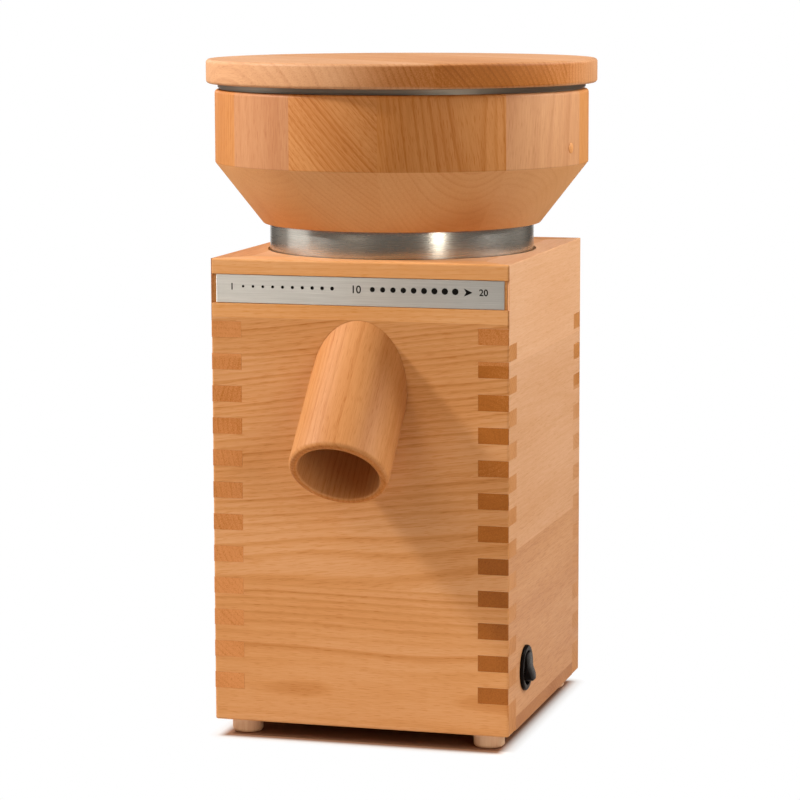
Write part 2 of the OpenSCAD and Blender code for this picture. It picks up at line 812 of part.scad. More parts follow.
module cooling_fan() {
    boss = 10;
    disc_t = 2.4;
    color("#30343a") difference() {
        union() {
            on_axis(fan_z) cylinder(r = fan_r, h = disc_t);
            on_axis(fan_z) cylinder(r = boss, h = fan_h);
            around(blade_count, boss - 2, fan_z + disc_t / 2) rotate([0, 0, 12])
                translate([0, -blade_t, 0]) cube([fan_r - boss - 2, 2 * blade_t, fan_h - disc_t]);
        }
        on_axis(fan_z - through) cylinder(r = shaft_r + fit_gap, h = fan_h + 2 * through);
    }
}

// ---- lower stone ----

module drive_pin_shape(r, l) {
    on_axis(cup_z + carrier_gap + pin_r + 0.6) rotate([0, 90, 0])
        cylinder(r = r, h = l, center = true, $fn = 32);
}

module drive_pin() {
    color("silver") drive_pin_shape(pin_r, 2 * hub_r - 2);
}

module stone_dowel_holes(gap) {
    around(2, dowel_ring_r, lower_stone_z - dowel_l / 2)
        cylinder(r = dowel_r + gap, h = dowel_l + gap, $fn = 32);
}

module stone_dowels() {
    color("silver") stone_dowel_holes(0);
}

module lower_carrier() {
    plate_r = stone_r - 1.5;
    sweep_r = cup_r - 1.5;
    sweep_z = cup_z + carrier_gap;
    color("#d8c9a0") difference() {
        union() {
            on_axis(sweep_z) cylinder(r = hub_r, h = lower_stone_z - sweep_z);
            on_axis(lower_stone_z - 6) cylinder(r = plate_r, h = 6);
            around(3, 0, sweep_z, 60) translate([0, -2, 0])
                cube([sweep_r, 4, lower_stone_z - sweep_z - 1]);
        }
        on_axis(sweep_z - through) cylinder(r = shaft_r + fit_gap, h = 2 * carrier_h);
        drive_pin_shape(pin_r + fit_gap, 3 * hub_r);
        stone_dowel_holes(fit_gap);
    }
}

// Radial furrows, set off from the middle, on a face at height z.
module furrows(z, inner_r, start) {
    around(furrow_count, 0, z, start) translate([inner_r, inner_r * 0.3, 0])
        cube([stone_r * 0.9 - inner_r, furrow_w, furrow_depth + through]);
}

module lower_stone() {
    color("#e8e4dc") difference() {
        on_axis(lower_stone_z) cylinder(r = stone_r, h = lower_stone_h, $fn = 180);
        on_axis(lower_stone_z - through) cylinder(r = shaft_r + 0.2, h = stone_bed + 2 * through);
        on_axis(lower_stone_z + stone_bed) cylinder(r = eye_r, h = lower_stone_h);
        furrows(lower_face_z - furrow_depth, eye_r, 0);
        stone_dowel_holes(fit_gap);
    }
}

module stone_washer() {
    color("silver") on_axis(lower_stone_z + stone_bed) tube(eye_r - 3, stone_bolt_r + fit_gap, washer_t);
}

module stone_bolt() {
    color("silver") on_axis(lower_stone_z + stone_bed + washer_t) mirror([0, 0, 1])
        screw(stone_bolt_r, 16, 5, 4.5);
}

// ---- upper stone ----

module upper_carrier() {
    wall_r = stone_r + 4.5;
    color("#d8c9a0") difference() {
        on_axis() rotate_extrude($fn = 180) polygon([
            [shoe_r, shoe_z], [carrier_r, shoe_z], [carrier_r, shoe_z + shoe_t], [wall_r, shoe_z + shoe_t],
            [wall_r, carrier_top_z], [plate_eye_r, carrier_top_z], [plate_eye_r, upper_top_z],
            [stone_r + fit_gap, upper_top_z], [stone_r + fit_gap, lip_z],
            [shoe_r, lip_z]]);
        for (a = rib_angles) on_axis(shoe_z - through) rotate([0, 0, a])
            translate([rib_r - free_gap, -rib_w / 2 - free_gap, 0])
                cube([chamber_t, rib_w + 2 * free_gap, shoe_t + 2 * through]);
    }
}

module upper_stone() {
    color("#e8e4dc") difference() {
        on_axis(upper_face_z) cylinder(r = stone_r, h = upper_stone_h, $fn = 180);
        on_axis(upper_face_z - through) cylinder(r = eye_r, h = upper_stone_h + 2 * through);
        on_axis(upper_face_z - 0.01) cylinder(r1 = eye_r + 13, r2 = eye_r, h = upper_stone_h / 2);
        furrows(upper_face_z - through, eye_r + 10, 15);
    }
}

// One turn of wire round +Z, swept as rings of six points.
module spring(r, wire, h, turns) {
    sides = 6;
    per_turn = 14;
    rings = turns * per_turn;
    rise = (h - 2 * wire) / rings;
    points = [for (i = [0 : rings], j = [0 : sides - 1])
        let (a = 360 * i / per_turn, b = 360 * j / sides, q = r + wire * cos(b))
            [q * cos(a), q * sin(a), wire + rise * i + wire * sin(b)]];
    skin = [for (i = [0 : rings - 1], j = [0 : sides - 1])
        let (k = (j + 1) % sides, m = i * sides)
            each [[m + j, m + k, m + sides + k], [m + j, m + sides + k, m + sides + j]]];
    first_cap = [for (j = [1 : sides - 2]) [0, j + 1, j]];
    last = rings * sides;
    last_cap = [for (j = [1 : sides - 2]) [last, last + j, last + j + 1]];
    polyhedron(points, [for (f = concat(skin, first_cap, last_cap)) [f[0], f[2], f[1]]]);
}

module carrier_springs() {
    color("#b8bcc0") for (a = spring_angles)
        on_axis(shelf_z) rotate([0, 0, a]) translate([spring_seat_r, 0, 0])
            spring(spring_r, spring_wire, shoe_z - shelf_z, spring_turns);
}

// ---- hopper ----

module threaded_sleeve() {
    flange_r = ring_r - ring_t - fit_gap;
    flange_z = hopper_z - sleeve_t;
    funnel_z = carrier_top_z + free_gap;
    color("#d9d4c4") difference() {
        on_axis() rotate_extrude($fn = 180) polygon([
            [sleeve_r, sleeve_z], [sleeve_r, flange_z], [flange_r, flange_z], [flange_r, hopper_z],
            [throat_r, hopper_z], [funnel_end_r, funnel_z], [funnel_end_r + funnel_t, funnel_z],
            [throat_r + funnel_t - 1, flange_z], [sleeve_r - sleeve_t, flange_z],
            [sleeve_r - sleeve_t, sleeve_z]]);
        around(4, hopper_screw_ring_r, flange_z, 45) screw_hole(wood_screw_r, sleeve_t);
    }
}

module hopper_ring() {
    color("#c4c6c4") on_axis(case_z1 - ring_dip)
        tube(ring_r, ring_r - ring_t, hopper_z - case_z1 + ring_dip, $fn = 180);
}

module hopper_screws() {
    color("silver") around(4, hopper_screw_ring_r, hopper_z - sleeve_t, 45)
        screw(wood_screw_r, sleeve_t + hopper_bite);
}

module hopper() {
    bowl_r = hopper_r - hopper_t;
    edge = hopper_edge;
    color("#cf8f5b") difference() {
        on_axis() rotate_extrude($fn = 180) polygon(concat(
            [[throat_r, hopper_z], [hopper_foot_r, hopper_z], [hopper_r, hopper_mid_z]],
            arc(hopper_r - edge, rim_z - edge, edge, 0, 90),
            arc(bowl_r + edge, rim_z - edge, edge, 90, 180),
            [[bowl_r, rim_z - bowl_drop], [throat_r, hopper_z + throat_h]]));
        around(4, hopper_screw_ring_r, hopper_z, 45) screw_hole(wood_screw_r, hopper_bite);
        at_index() translate([0, 0, -index_l]) cylinder(r = index_r + fit_gap, h = 2 * index_l, $fn = 32);
    }
}

// The index mark's own frame: +Z points out of the hopper's wall.
module at_index() {
    on_axis(hopper_mid_z + index_up) rotate([0, 0, index_angle - 90]) translate([hopper_r, 0, 0])
        rotate([0, 90, 0]) children();
}

module index_dot() {
    color("#dc9652") at_index() translate([0, 0, -index_l])
        cylinder(r = index_r, h = index_l + 0.3, $fn = 32);
}

// ---- lid ----

module lid() {
    spigot_r = hopper_r - hopper_t - lid_gap;
    core_r = hopper_r - band_step - band_t - fit_gap;
    color("#dfa876") on_axis() rotate_extrude($fn = 180) polygon(concat(
        [[0, rim_z - spigot_h], [spigot_r - 1, rim_z - spigot_h], [spigot_r, rim_z - spigot_h + 1],
         [spigot_r, band_z], [core_r, band_z], [core_r, lid_z]],
        arc(lid_r - lid_edge, lid_z + lid_edge, lid_edge, -90, 0),
        arc(lid_r - lid_edge, lid_z + lid_t - lid_edge, lid_edge, 0, 90),
        [[0, lid_z + lid_t]]));
}

module lid_band() {
    band_r = hopper_r - band_step;
    color("#aeb1b1") on_axis(band_z) tube(band_r, band_r - band_t, band_h, $fn = 180);
}

// ---- electrics ----

module capacitor() {
    color("#d0d3d6") translate([capacitor_x, mill_y + capacitor_y, base_z]) {
        cylinder(r = capacitor_r, h = capacitor_h);
        for (s = [-1, 1]) translate([s * tab_reach - blade_t / 2, -blade_w / 2, capacitor_h - 1])
            cube([blade_t, blade_w, blade_l]);
    }
}

module capacitor_clip() {
    reach = in_d - capacitor_y;
    color("#9a9ea3") translate([capacitor_x, mill_y + capacitor_y, clip_z]) difference() {
        union() {
            cylinder(r = capacitor_r + clip_t, h = clip_h);
            translate([-9, capacitor_r - 2, 0]) cube([18, reach - capacitor_r + 2, clip_h]);
        }
        translate([0, 0, -through]) cylinder(r = capacitor_r + fit_gap, h = clip_h + 2 * through);
        translate([0, 0, clip_h / 2]) rotate([-90, 0, 0])
            cylinder(r = screw_r + fit_gap, h = 2 * reach, $fn = 32);
    }
}

module clip_screw() {
    head_y = capacitor_r + free_gap;
    color("silver") translate([capacitor_x, mill_y + capacitor_y + head_y, clip_z + clip_h / 2])
        rotate([-90, 0, 0]) cylinder(r = screw_r, h = in_d - capacitor_y - head_y + wood_bite - 1, $fn = 32);
}

module block_screw_places() {
    for (s = [-1, 1]) translate([block_x + s * (block_l / 2 - 4), mill_y + block_y, base_z]) children();
}

module terminal_block() {
    color("#e6e2d8") difference() {
        translate([block_x - block_l / 2, mill_y + block_y - block_w / 2, base_z])
            cube([block_l, block_w, block_h]);
        block_screw_places() translate([0, 0, -through])
            cylinder(r = screw_r + fit_gap, h = block_h + 2 * through, $fn = 32);
        for (i = [-1 : 1]) translate([block_x + i * block_pitch, mill_y + block_y, base_z + block_h / 2]) {
            rotate([90, 0, 0]) cylinder(r = 2, h = block_w + 2, center = true, $fn = 32);
            cylinder(r = 1.6, h = block_h, $fn = 32);
        }
    }
}

module terminal_screws() {
    color("silver") block_screw_places() translate([0, 0, block_h]) mirror([0, 0, 1])
        screw(screw_r, block_h, 3, 1.8);
}

// A lead along straight runs between points, round at its bends.
module lead(points, r = lead_r) {
    for (i = [0 : len(points) - 2]) {
        run = points[i + 1] - points[i];
        flat = norm([run[0], run[1]]);
        translate(points[i]) rotate([0, atan2(flat, run[2]), atan2(run[1], run[0])])
            cylinder(r = r, h = norm(run), $fn = 24);
        if (i > 0) translate(points[i]) sphere(r = r * 1.01, $fn = 24);
    }
}

block_front_y = mill_y + block_y - block_w / 2;
block_way_z = base_z + block_h / 2;

module switch_leads() {
    tip_x = half_w - barrel_l - blade_l - free_gap;
    y = mill_y - switch_y;
    color("#3b5fa8") for (i = [0, 1]) {
        x = block_x + i * block_pitch;
        z = switch_axis_z - i * blade_pitch;
        lead([[tip_x, y, z], [x, y, z], [x, y + 16, z - 8],
              [x, block_front_y - 12, block_way_z], [x, block_front_y - free_gap, block_way_z]]);
    }
}

module motor_cable() {
    r = 1.4 * lead_r;
    x = block_x - block_pitch;
    side_angle = 65;
    side = [cos(side_angle), sin(side_angle)];
    run_r = bell_r + r + 4;
    end_r = bell_r + r + free_gap;
    top_z = bell_floor_z + 10;
    color("#8a3b2c") lead([
        [x, block_front_y - free_gap, block_way_z], [x, block_front_y - 6, block_way_z],
        [x - 8, block_front_y - 6, base_z + 34],
        [run_r * side[0], mill_y + run_r * side[1], base_z + 66],
        [run_r * side[0], mill_y + run_r * side[1], top_z],
        [end_r * side[0], mill_y + end_r * side[1], top_z]], r);
}

module capacitor_leads() {
    end_r = bell_r + lead_r + free_gap;
    angle = atan2(capacitor_y, capacitor_x);
    color("#3b5fa8") for (i = [-1, 1]) {
        x = capacitor_x + i * tab_reach;
        y = mill_y + capacitor_y;
        a = angle - i * 6;
        lead([[x, y, base_z + capacitor_h + blade_l - 1 + free_gap], [x, y, bell_floor_z + 2],
              [end_r * cos(a), mill_y + end_r * sin(a), bell_floor_z + 10]]);
    }
}

front_panel();
back_panel();
left_panel();
right_panel();
top_panel();
base_board();
feet();
foot_screws();
base_screws();
scale_plate();
spout();
cord_gland();
gland_nut();
switch_body();
switch_terminals();
switch_rocker();
mill_chamber();
chamber_screws();
shaft_seal();
motor_flange();
motor_lower_bell();
motor_stator();
motor_windings();
motor_bolts();
flange_screws();
upper_bearing();
lower_bearing();
motor_shaft();
rotor_core();
cooling_fan();
lower_carrier();
drive_pin();
stone_dowels();
lower_stone();
stone_washer();
stone_bolt();
upper_carrier();
upper_stone();
carrier_springs();
threaded_sleeve();
hopper_ring();
hopper_screws();
hopper();
index_dot();
lid();
lid_band();
capacitor();
capacitor_clip();
clip_screw();
terminal_block();
terminal_screws();
switch_leads();
capacitor_leads();
motor_cable();
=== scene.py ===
"""Electric grain mill: finger-jointed case, hopper, lid and spout of oiled beech, with brushed steel trim."""
import json
import math

import bmesh
import bpy
from mathutils import Matrix, Vector


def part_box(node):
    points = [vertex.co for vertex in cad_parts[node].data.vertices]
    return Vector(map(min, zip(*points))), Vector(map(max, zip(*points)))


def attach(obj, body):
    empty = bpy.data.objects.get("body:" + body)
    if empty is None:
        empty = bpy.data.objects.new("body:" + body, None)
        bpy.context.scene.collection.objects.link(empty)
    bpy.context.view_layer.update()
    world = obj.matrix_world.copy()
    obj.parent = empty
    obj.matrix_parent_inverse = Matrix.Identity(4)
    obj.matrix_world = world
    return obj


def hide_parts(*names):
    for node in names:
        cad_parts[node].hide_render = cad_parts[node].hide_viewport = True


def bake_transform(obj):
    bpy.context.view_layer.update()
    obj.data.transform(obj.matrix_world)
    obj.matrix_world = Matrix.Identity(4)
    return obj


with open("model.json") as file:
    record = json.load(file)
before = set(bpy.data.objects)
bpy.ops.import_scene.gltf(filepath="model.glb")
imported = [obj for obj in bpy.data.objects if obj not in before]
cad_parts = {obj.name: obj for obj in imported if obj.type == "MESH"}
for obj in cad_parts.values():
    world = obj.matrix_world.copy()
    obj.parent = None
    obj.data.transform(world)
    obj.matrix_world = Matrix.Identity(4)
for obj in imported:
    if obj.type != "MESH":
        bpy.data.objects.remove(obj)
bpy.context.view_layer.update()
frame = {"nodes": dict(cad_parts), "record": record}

MM = 0.001
COS45 = math.sqrt(0.5)
UP = (0, 0, 1)

# Sizes in millimetres, in the CAD model's frame.
MILL_Y = 1000 * (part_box("hopper")[0].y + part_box("hopper")[1].y) / 2     # the axis that the hopper turns on
CASE_X, CASE_Y = 88, 92                                                 # half the case's width and depth
CASE_FRONT = MILL_Y - CASE_Y
CASE_BOTTOM, CASE_TOP = 9, 279
RING_R = 78                                                             # the steel ring under the hopper

SLOT_OF = {part["node"]: part["material_slot"] for part in frame["record"]["subparts"]}


# ---- meshes ----

SAME_POINT = 1e-6       # in metres: points closer than this are one
NO_LENGTH = 1e-7        # and an edge shorter than this is none


def eased(corners, steps=6):
    """Rounds the corners (x, y, radius) of an outline, each in so many steps."""
    outline = []
    for i, (x, y, radius) in enumerate(corners):
        here = Vector((x, y))
        if not radius:
            outline.append((x, y))
            continue
        before = (Vector(corners[i - 1][:2]) - here).normalized()
        after = (Vector(corners[(i + 1) % len(corners)][:2]) - here).normalized()
        half = before.angle(after) / 2
        centre = here + (before + after).normalized() * (radius / math.sin(half))
        reach = radius / math.tan(half)
        first, last = here + before * reach - centre, here + after * reach - centre
        for k in range(steps + 1):
            outline.append(tuple(centre + radius * first.slerp(last, k / steps).normalized()))
    return outline


def stood(name, data):
    """A new object in the scene, at the origin."""
    made = bpy.data.objects.new(name, data)
    bpy.context.scene.collection.objects.link(made)
    return made


def written(form, name):
    """The mesh that a bmesh comes to, once it is done with."""
    mesh = bpy.data.meshes.new(name)
    form.to_mesh(mesh)
    form.free()
    return mesh


def evaluated(obj):
    """The plain mesh that an object comes to, with its modifiers applied or its text filled in."""
    return bpy.data.meshes.new_from_object(obj.evaluated_get(bpy.context.evaluated_depsgraph_get()))


def socket_of(tree, name):
    """The identifier that a modifier knows a tree's named input by."""
    return next(item.identifier for item in tree.interface.items_tree if item.name == name)


def add(tree, kind, inputs=None, out=0, stops=None, hold=False, **settings):
    """Adds a node with its settings and links, and gives the output asked for. stops are a ramp's, and hold
    makes the ramp go in steps."""
    node = tree.nodes.new(kind)
    for key, value in settings.items():
        setattr(node, key, value)
    for key, value in (inputs or {}).items():
        if isinstance(value, bpy.types.NodeSocket):
            tree.links.new(value, node.inputs[key])
        else:
            node.inputs[key].default_value = value
    if stops:
        elements = node.color_ramp.elements
        while len(elements) < len(stops):
            elements.new(0.5)
        for element, (place, colour) in zip(elements, stops):
            element.position, element.color = place, colour
        if hold:
            node.color_ramp.interpolation = "CONSTANT"
    return node.outputs[out] if node.outputs else node


def geometry_tree(name, inputs):
    """An empty geometry tree with named inputs, and the outputs of its input node."""
    tree = bpy.data.node_groups.new(name, "GeometryNodeTree")
    tree.interface.new_socket("Geometry", in_out="OUTPUT", socket_type="NodeSocketGeometry")
    for label, kind in inputs.items():
        tree.interface.new_socket(label, in_out="INPUT", socket_type="NodeSocket" + kind)
    given = tree.nodes.new("NodeGroupInput").outputs
    return tree, given


def close_tree(tree, geometry, material):
    """Ends a geometry tree in real, painted geometry."""
    real = add(tree, "GeometryNodeRealizeInstances", {0: geometry})
    painted = add(tree, "GeometryNodeSetMaterial", {"Geometry": real, "Material": material})
    tree.links.new(painted, tree.nodes.new("NodeGroupOutput").inputs[0])


def lathe_tree():
    """Turns a profile about Z: a grid whose columns each copy the profile's points at their own angle."""
    tree, given = geometry_tree("turned_on_the_lathe",
                                {"Profile": "Object", "Segments": "Int", "Material": "Material"})
    profile = add(tree, "GeometryNodeObjectInfo", {"Object": given["Profile"]}, "Geometry")
    count = add(tree, "GeometryNodeAttributeDomainSize", {0: profile}, "Point Count")
    columns = add(tree, "ShaderNodeMath", {0: given["Segments"], 1: 1.0}, operation="ADD")
    grid = add(tree, "GeometryNodeMeshGrid", {"Vertices X": columns, "Vertices Y": count}, "Mesh")
    index = add(tree, "GeometryNodeInputIndex")
    half_step = add(tree, "ShaderNodeMath", {0: index, 1: 0.5}, operation="ADD")
    share = add(tree, "ShaderNodeMath", {0: half_step, 1: count}, operation="DIVIDE")
    column = add(tree, "ShaderNodeMath", {0: share}, operation="FLOOR")
    passed = add(tree, "ShaderNodeMath", {0: column, 1: count}, operation="MULTIPLY")
    row = add(tree, "ShaderNodeMath", {0: index, 1: passed}, operation="SUBTRACT")
    place = add(tree, "GeometryNodeInputPosition")
    copied = add(tree, "GeometryNodeSampleIndex", {0: profile, "Value": place, "Index": row},
                 data_type="FLOAT_VECTOR", domain="POINT")
    radius = add(tree, "ShaderNodeSeparateXYZ", {0: copied}, "X")
    height = add(tree, "ShaderNodeSeparateXYZ", {0: copied}, "Z")
    turn = add(tree, "ShaderNodeMath", {0: column, 1: math.tau}, operation="MULTIPLY")
    angle = add(tree, "ShaderNodeMath", {0: turn, 1: given["Segments"]}, operation="DIVIDE")
    cosine = add(tree, "ShaderNodeMath", {0: angle}, operation="COSINE")
    sine = add(tree, "ShaderNodeMath", {0: angle}, operation="SINE")
    x = add(tree, "ShaderNodeMath", {0: radius, 1: cosine}, operation="MULTIPLY")
    y = add(tree, "ShaderNodeMath", {0: radius, 1: sine}, operation="MULTIPLY")
    where = add(tree, "ShaderNodeCombineXYZ", {"X": x, "Y": y, "Z": height})
    turned_grid = add(tree, "GeometryNodeSetPosition", {"Geometry": grid, "Position": where})
    closed = add(tree, "GeometryNodeMergeByDistance", {"Geometry": turned_grid, "Distance": SAME_POINT})
    close_tree(tree, closed, given["Material"])
    return tree


def dots_tree():
    """A row of printed dots along X that grow from the first to the last."""
    tree, given = geometry_tree("row_of_dots", {
        "Count": "Int", "Start": "Vector", "Step": "Vector", "First radius": "Float",
        "Last radius": "Float", "Thickness": "Float", "Material": "Material"})
    row = add(tree, "GeometryNodeMeshLine", {
        "Count": given["Count"], "Start Location": given["Start"], "Offset": given["Step"]})
    index = add(tree, "GeometryNodeInputIndex")
    last = add(tree, "ShaderNodeMath", {0: given["Count"], 1: 1.0}, operation="SUBTRACT")
    radius = add(tree, "ShaderNodeMapRange", {
        "Value": index, "From Min": 0.0, "From Max": last,
        "To Min": given["First radius"], "To Max": given["Last radius"]})
    size = add(tree, "ShaderNodeCombineXYZ", {"X": radius, "Y": radius, "Z": 1.0})
    dot = add(tree, "GeometryNodeMeshCylinder",
              {"Vertices": 32, "Radius": 1.0, "Depth": given["Thickness"]}, "Mesh")
    dots = add(tree, "GeometryNodeInstanceOnPoints", {
        "Points": row, "Instance": dot, "Scale": size, "Rotation": (math.pi / 2, 0, 0)})
    close_tree(tree, dots, given["Material"])
    return tree


def copies_tree():
    """Stands one copy of a piece on each point of another object."""
    tree, given = geometry_tree("copies_on_points",
                                {"Piece": "Object", "Points": "Object", "Material": "Material"})
    piece = add(tree, "GeometryNodeObjectInfo", {"Object": given["Piece"]}, "Geometry")
    points = add(tree, "GeometryNodeObjectInfo", {"Object": given["Points"]}, "Geometry")
    copies = add(tree, "GeometryNodeInstanceOnPoints", {"Points": points, "Instance": piece})
    close_tree(tree, copies, given["Material"])
    return tree


def grown(name, tree, values, material):
    """The plain mesh object that a geometry tree makes from these inputs."""
    seed = stood(name + "_seed", bpy.data.meshes.new(name + "_seed"))
    modifier = seed.modifiers.new("maker", "NODES")
    modifier.node_group = tree
    for label, value in {**values, "Material": material}.items():
        modifier[socket_of(tree, label)] = value
    mesh = evaluated(seed)
    bpy.data.objects.remove(seed)
    mesh.name = name
    return stood(name, mesh)


def points_object(name, points):
    """A bare set of points, in millimetres, that a geometry tree reads."""
    mesh = bpy.data.meshes.new(name)
    mesh.from_pydata([Vector(p) * MM for p in points], [(i, i + 1) for i in range(len(points) - 1)], [])
    return stood(name, mesh)


def tidy_mesh(obj, smooth_below=35, outward=True):
    """Merges doubles, turns faces outwards and shades all but the sharper edges smooth."""
    form = bmesh.new()
    form.from_mesh(obj.data)
    bmesh.ops.remove_doubles(form, verts=form.verts, dist=SAME_POINT)
    bmesh.ops.dissolve_degenerate(form, edges=form.edges, dist=NO_LENGTH)
    if outward:
        bmesh.ops.recalc_face_normals(form, faces=form.faces)
    form.to_mesh(obj.data)
    form.free()
    if smooth_below:
        obj.data.shade_smooth()
        obj.data.set_sharp_from_angle(angle=math.radians(smooth_below))
    else:
        obj.data.shade_flat()
    return obj


def turned(name, outline, material, closed=True, segments=256, place=None, smooth_below=35):
    """A piece off the lathe, from (radius, height) points, put in place by a matrix or on the mill axis."""
    run = list(outline) + ([outline[0]] if closed else [])
    profile = points_object(name + "_profile", [(r, 0, z) for r, z in run])
    made = grown(name, LATHE, {"Profile": profile, "Segments": segments}, material)
    bpy.data.objects.remove(profile)
    made.data.transform(place or Matrix.Translation((0, MILL_Y * MM, 0)))
    return tidy_mesh(made, smooth_below)


LEAST_EDGE = math.radians(40)       # an edge of a smaller turn is left as it is


def every_edge(a, b):
    """The full width on each edge."""
    return 1.0


def eased_copy(name, node, material, width, weight=every_edge, segments=2, smooth_below=0):
    """A merged copy of a CAD node with its outward edges eased; weight gives each its share of the width."""
    form = bmesh.new()
    form.from_mesh(frame["nodes"][node].data)
    bmesh.ops.remove_doubles(form, verts=form.verts, dist=2 * SAME_POINT)
    bmesh.ops.dissolve_limit(form, angle_limit=math.radians(0.5), verts=form.verts, edges=form.edges)
    layer = form.edges.layers.float.new("bevel_weight_edge")
    for edge in form.edges:
        if len(edge.link_faces) == 2 and edge.calc_face_angle_signed(0) > LEAST_EDGE:
            edge[layer] = weight(*[v.co / MM for v in edge.verts])
    made = stood(name, written(form, name))
    bevel = made.modifiers.new("ease", "BEVEL")
    bevel.limit_method, bevel.width, bevel.segments = "WEIGHT", width * MM, segments
    eased_mesh = evaluated(made)
    made.modifiers.clear()
    made.data = eased_mesh
    made.data.materials.clear()
    made.data.materials.append(material)
    return tidy_mesh(made, smooth_below, outward=False)


def hand_over(piece, body, *nodes, slot=None):
    """Hangs a finished piece on the body that it rides on and hides the nodes that it stands for; slot is not
    used.
    """
    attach(piece, body)
    if nodes:
        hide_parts(*nodes)


# ---- finishes ----

def hexed(code):
    """A colour written as sRGB hex, in linear light, with an alpha of 1."""
    parts = [int(code[i:i + 2], 16) / 255 for i in (1, 3, 5)]
    return tuple(c / 12.92 if c <= 0.04045 else ((c + 0.055) / 1.055) ** 2.4 for c in parts) + (1.0,)


def ramp(*stops):
    """A ramp's stops, from (place, colour), with the colour as sRGB hex or as one linear grey."""
    return [(place, hexed(tint) if isinstance(tint, str) else (tint, tint, tint, 1)) for place, tint in stops]


def new_material(name):
    """An empty material and its node tree."""
    material = bpy.data.materials.new(name)
    material.use_nodes = True
    material.node_tree.nodes.clear()
    return material, material.node_tree


def close_material(tree, shader):
    """Gives a material its surface."""
    tree.links.new(shader, add(tree, "ShaderNodeOutputMaterial").inputs["Surface"])


def point_in_mm(tree):
    """The shaded point, in millimetres."""
    place = add(tree, "ShaderNodeTexCoord", out="Object")
    return add(tree, "ShaderNodeVectorMath", {0: place, "Scale": 1 / MM}, operation="SCALE")


def about_axis(tree, point):
    """A point as seen from the mill axis, and its X, Y and Z."""
    about = add(tree, "ShaderNodeVectorMath", {0: point, 1: (0, MILL_Y, 0)}, operation="SUBTRACT")
    return about, *(add(tree, "ShaderNodeSeparateXYZ", {0: about}, axis) for axis in "XYZ")


def drawn_noise(tree, point, per_mm, detail, roughness=0.5, out=0):
    """Noise drawn out along the grain or the brushing: per_mm is how often it changes in a millimetre of X, Y
    and Z."""
    scaled = add(tree, "ShaderNodeVectorMath", {0: point, 1: per_mm}, operation="MULTIPLY")
    return add(tree, "ShaderNodeTexNoise",
               {"Vector": scaled, "Scale": 1.0, "Detail": detail, "Roughness": roughness}, out)


RING_WIDTH = 3.0        # a year's growth, in millimetres
WANDER = 14.0           # how far the rings stray from a circle, from one side to the other, in millimetres


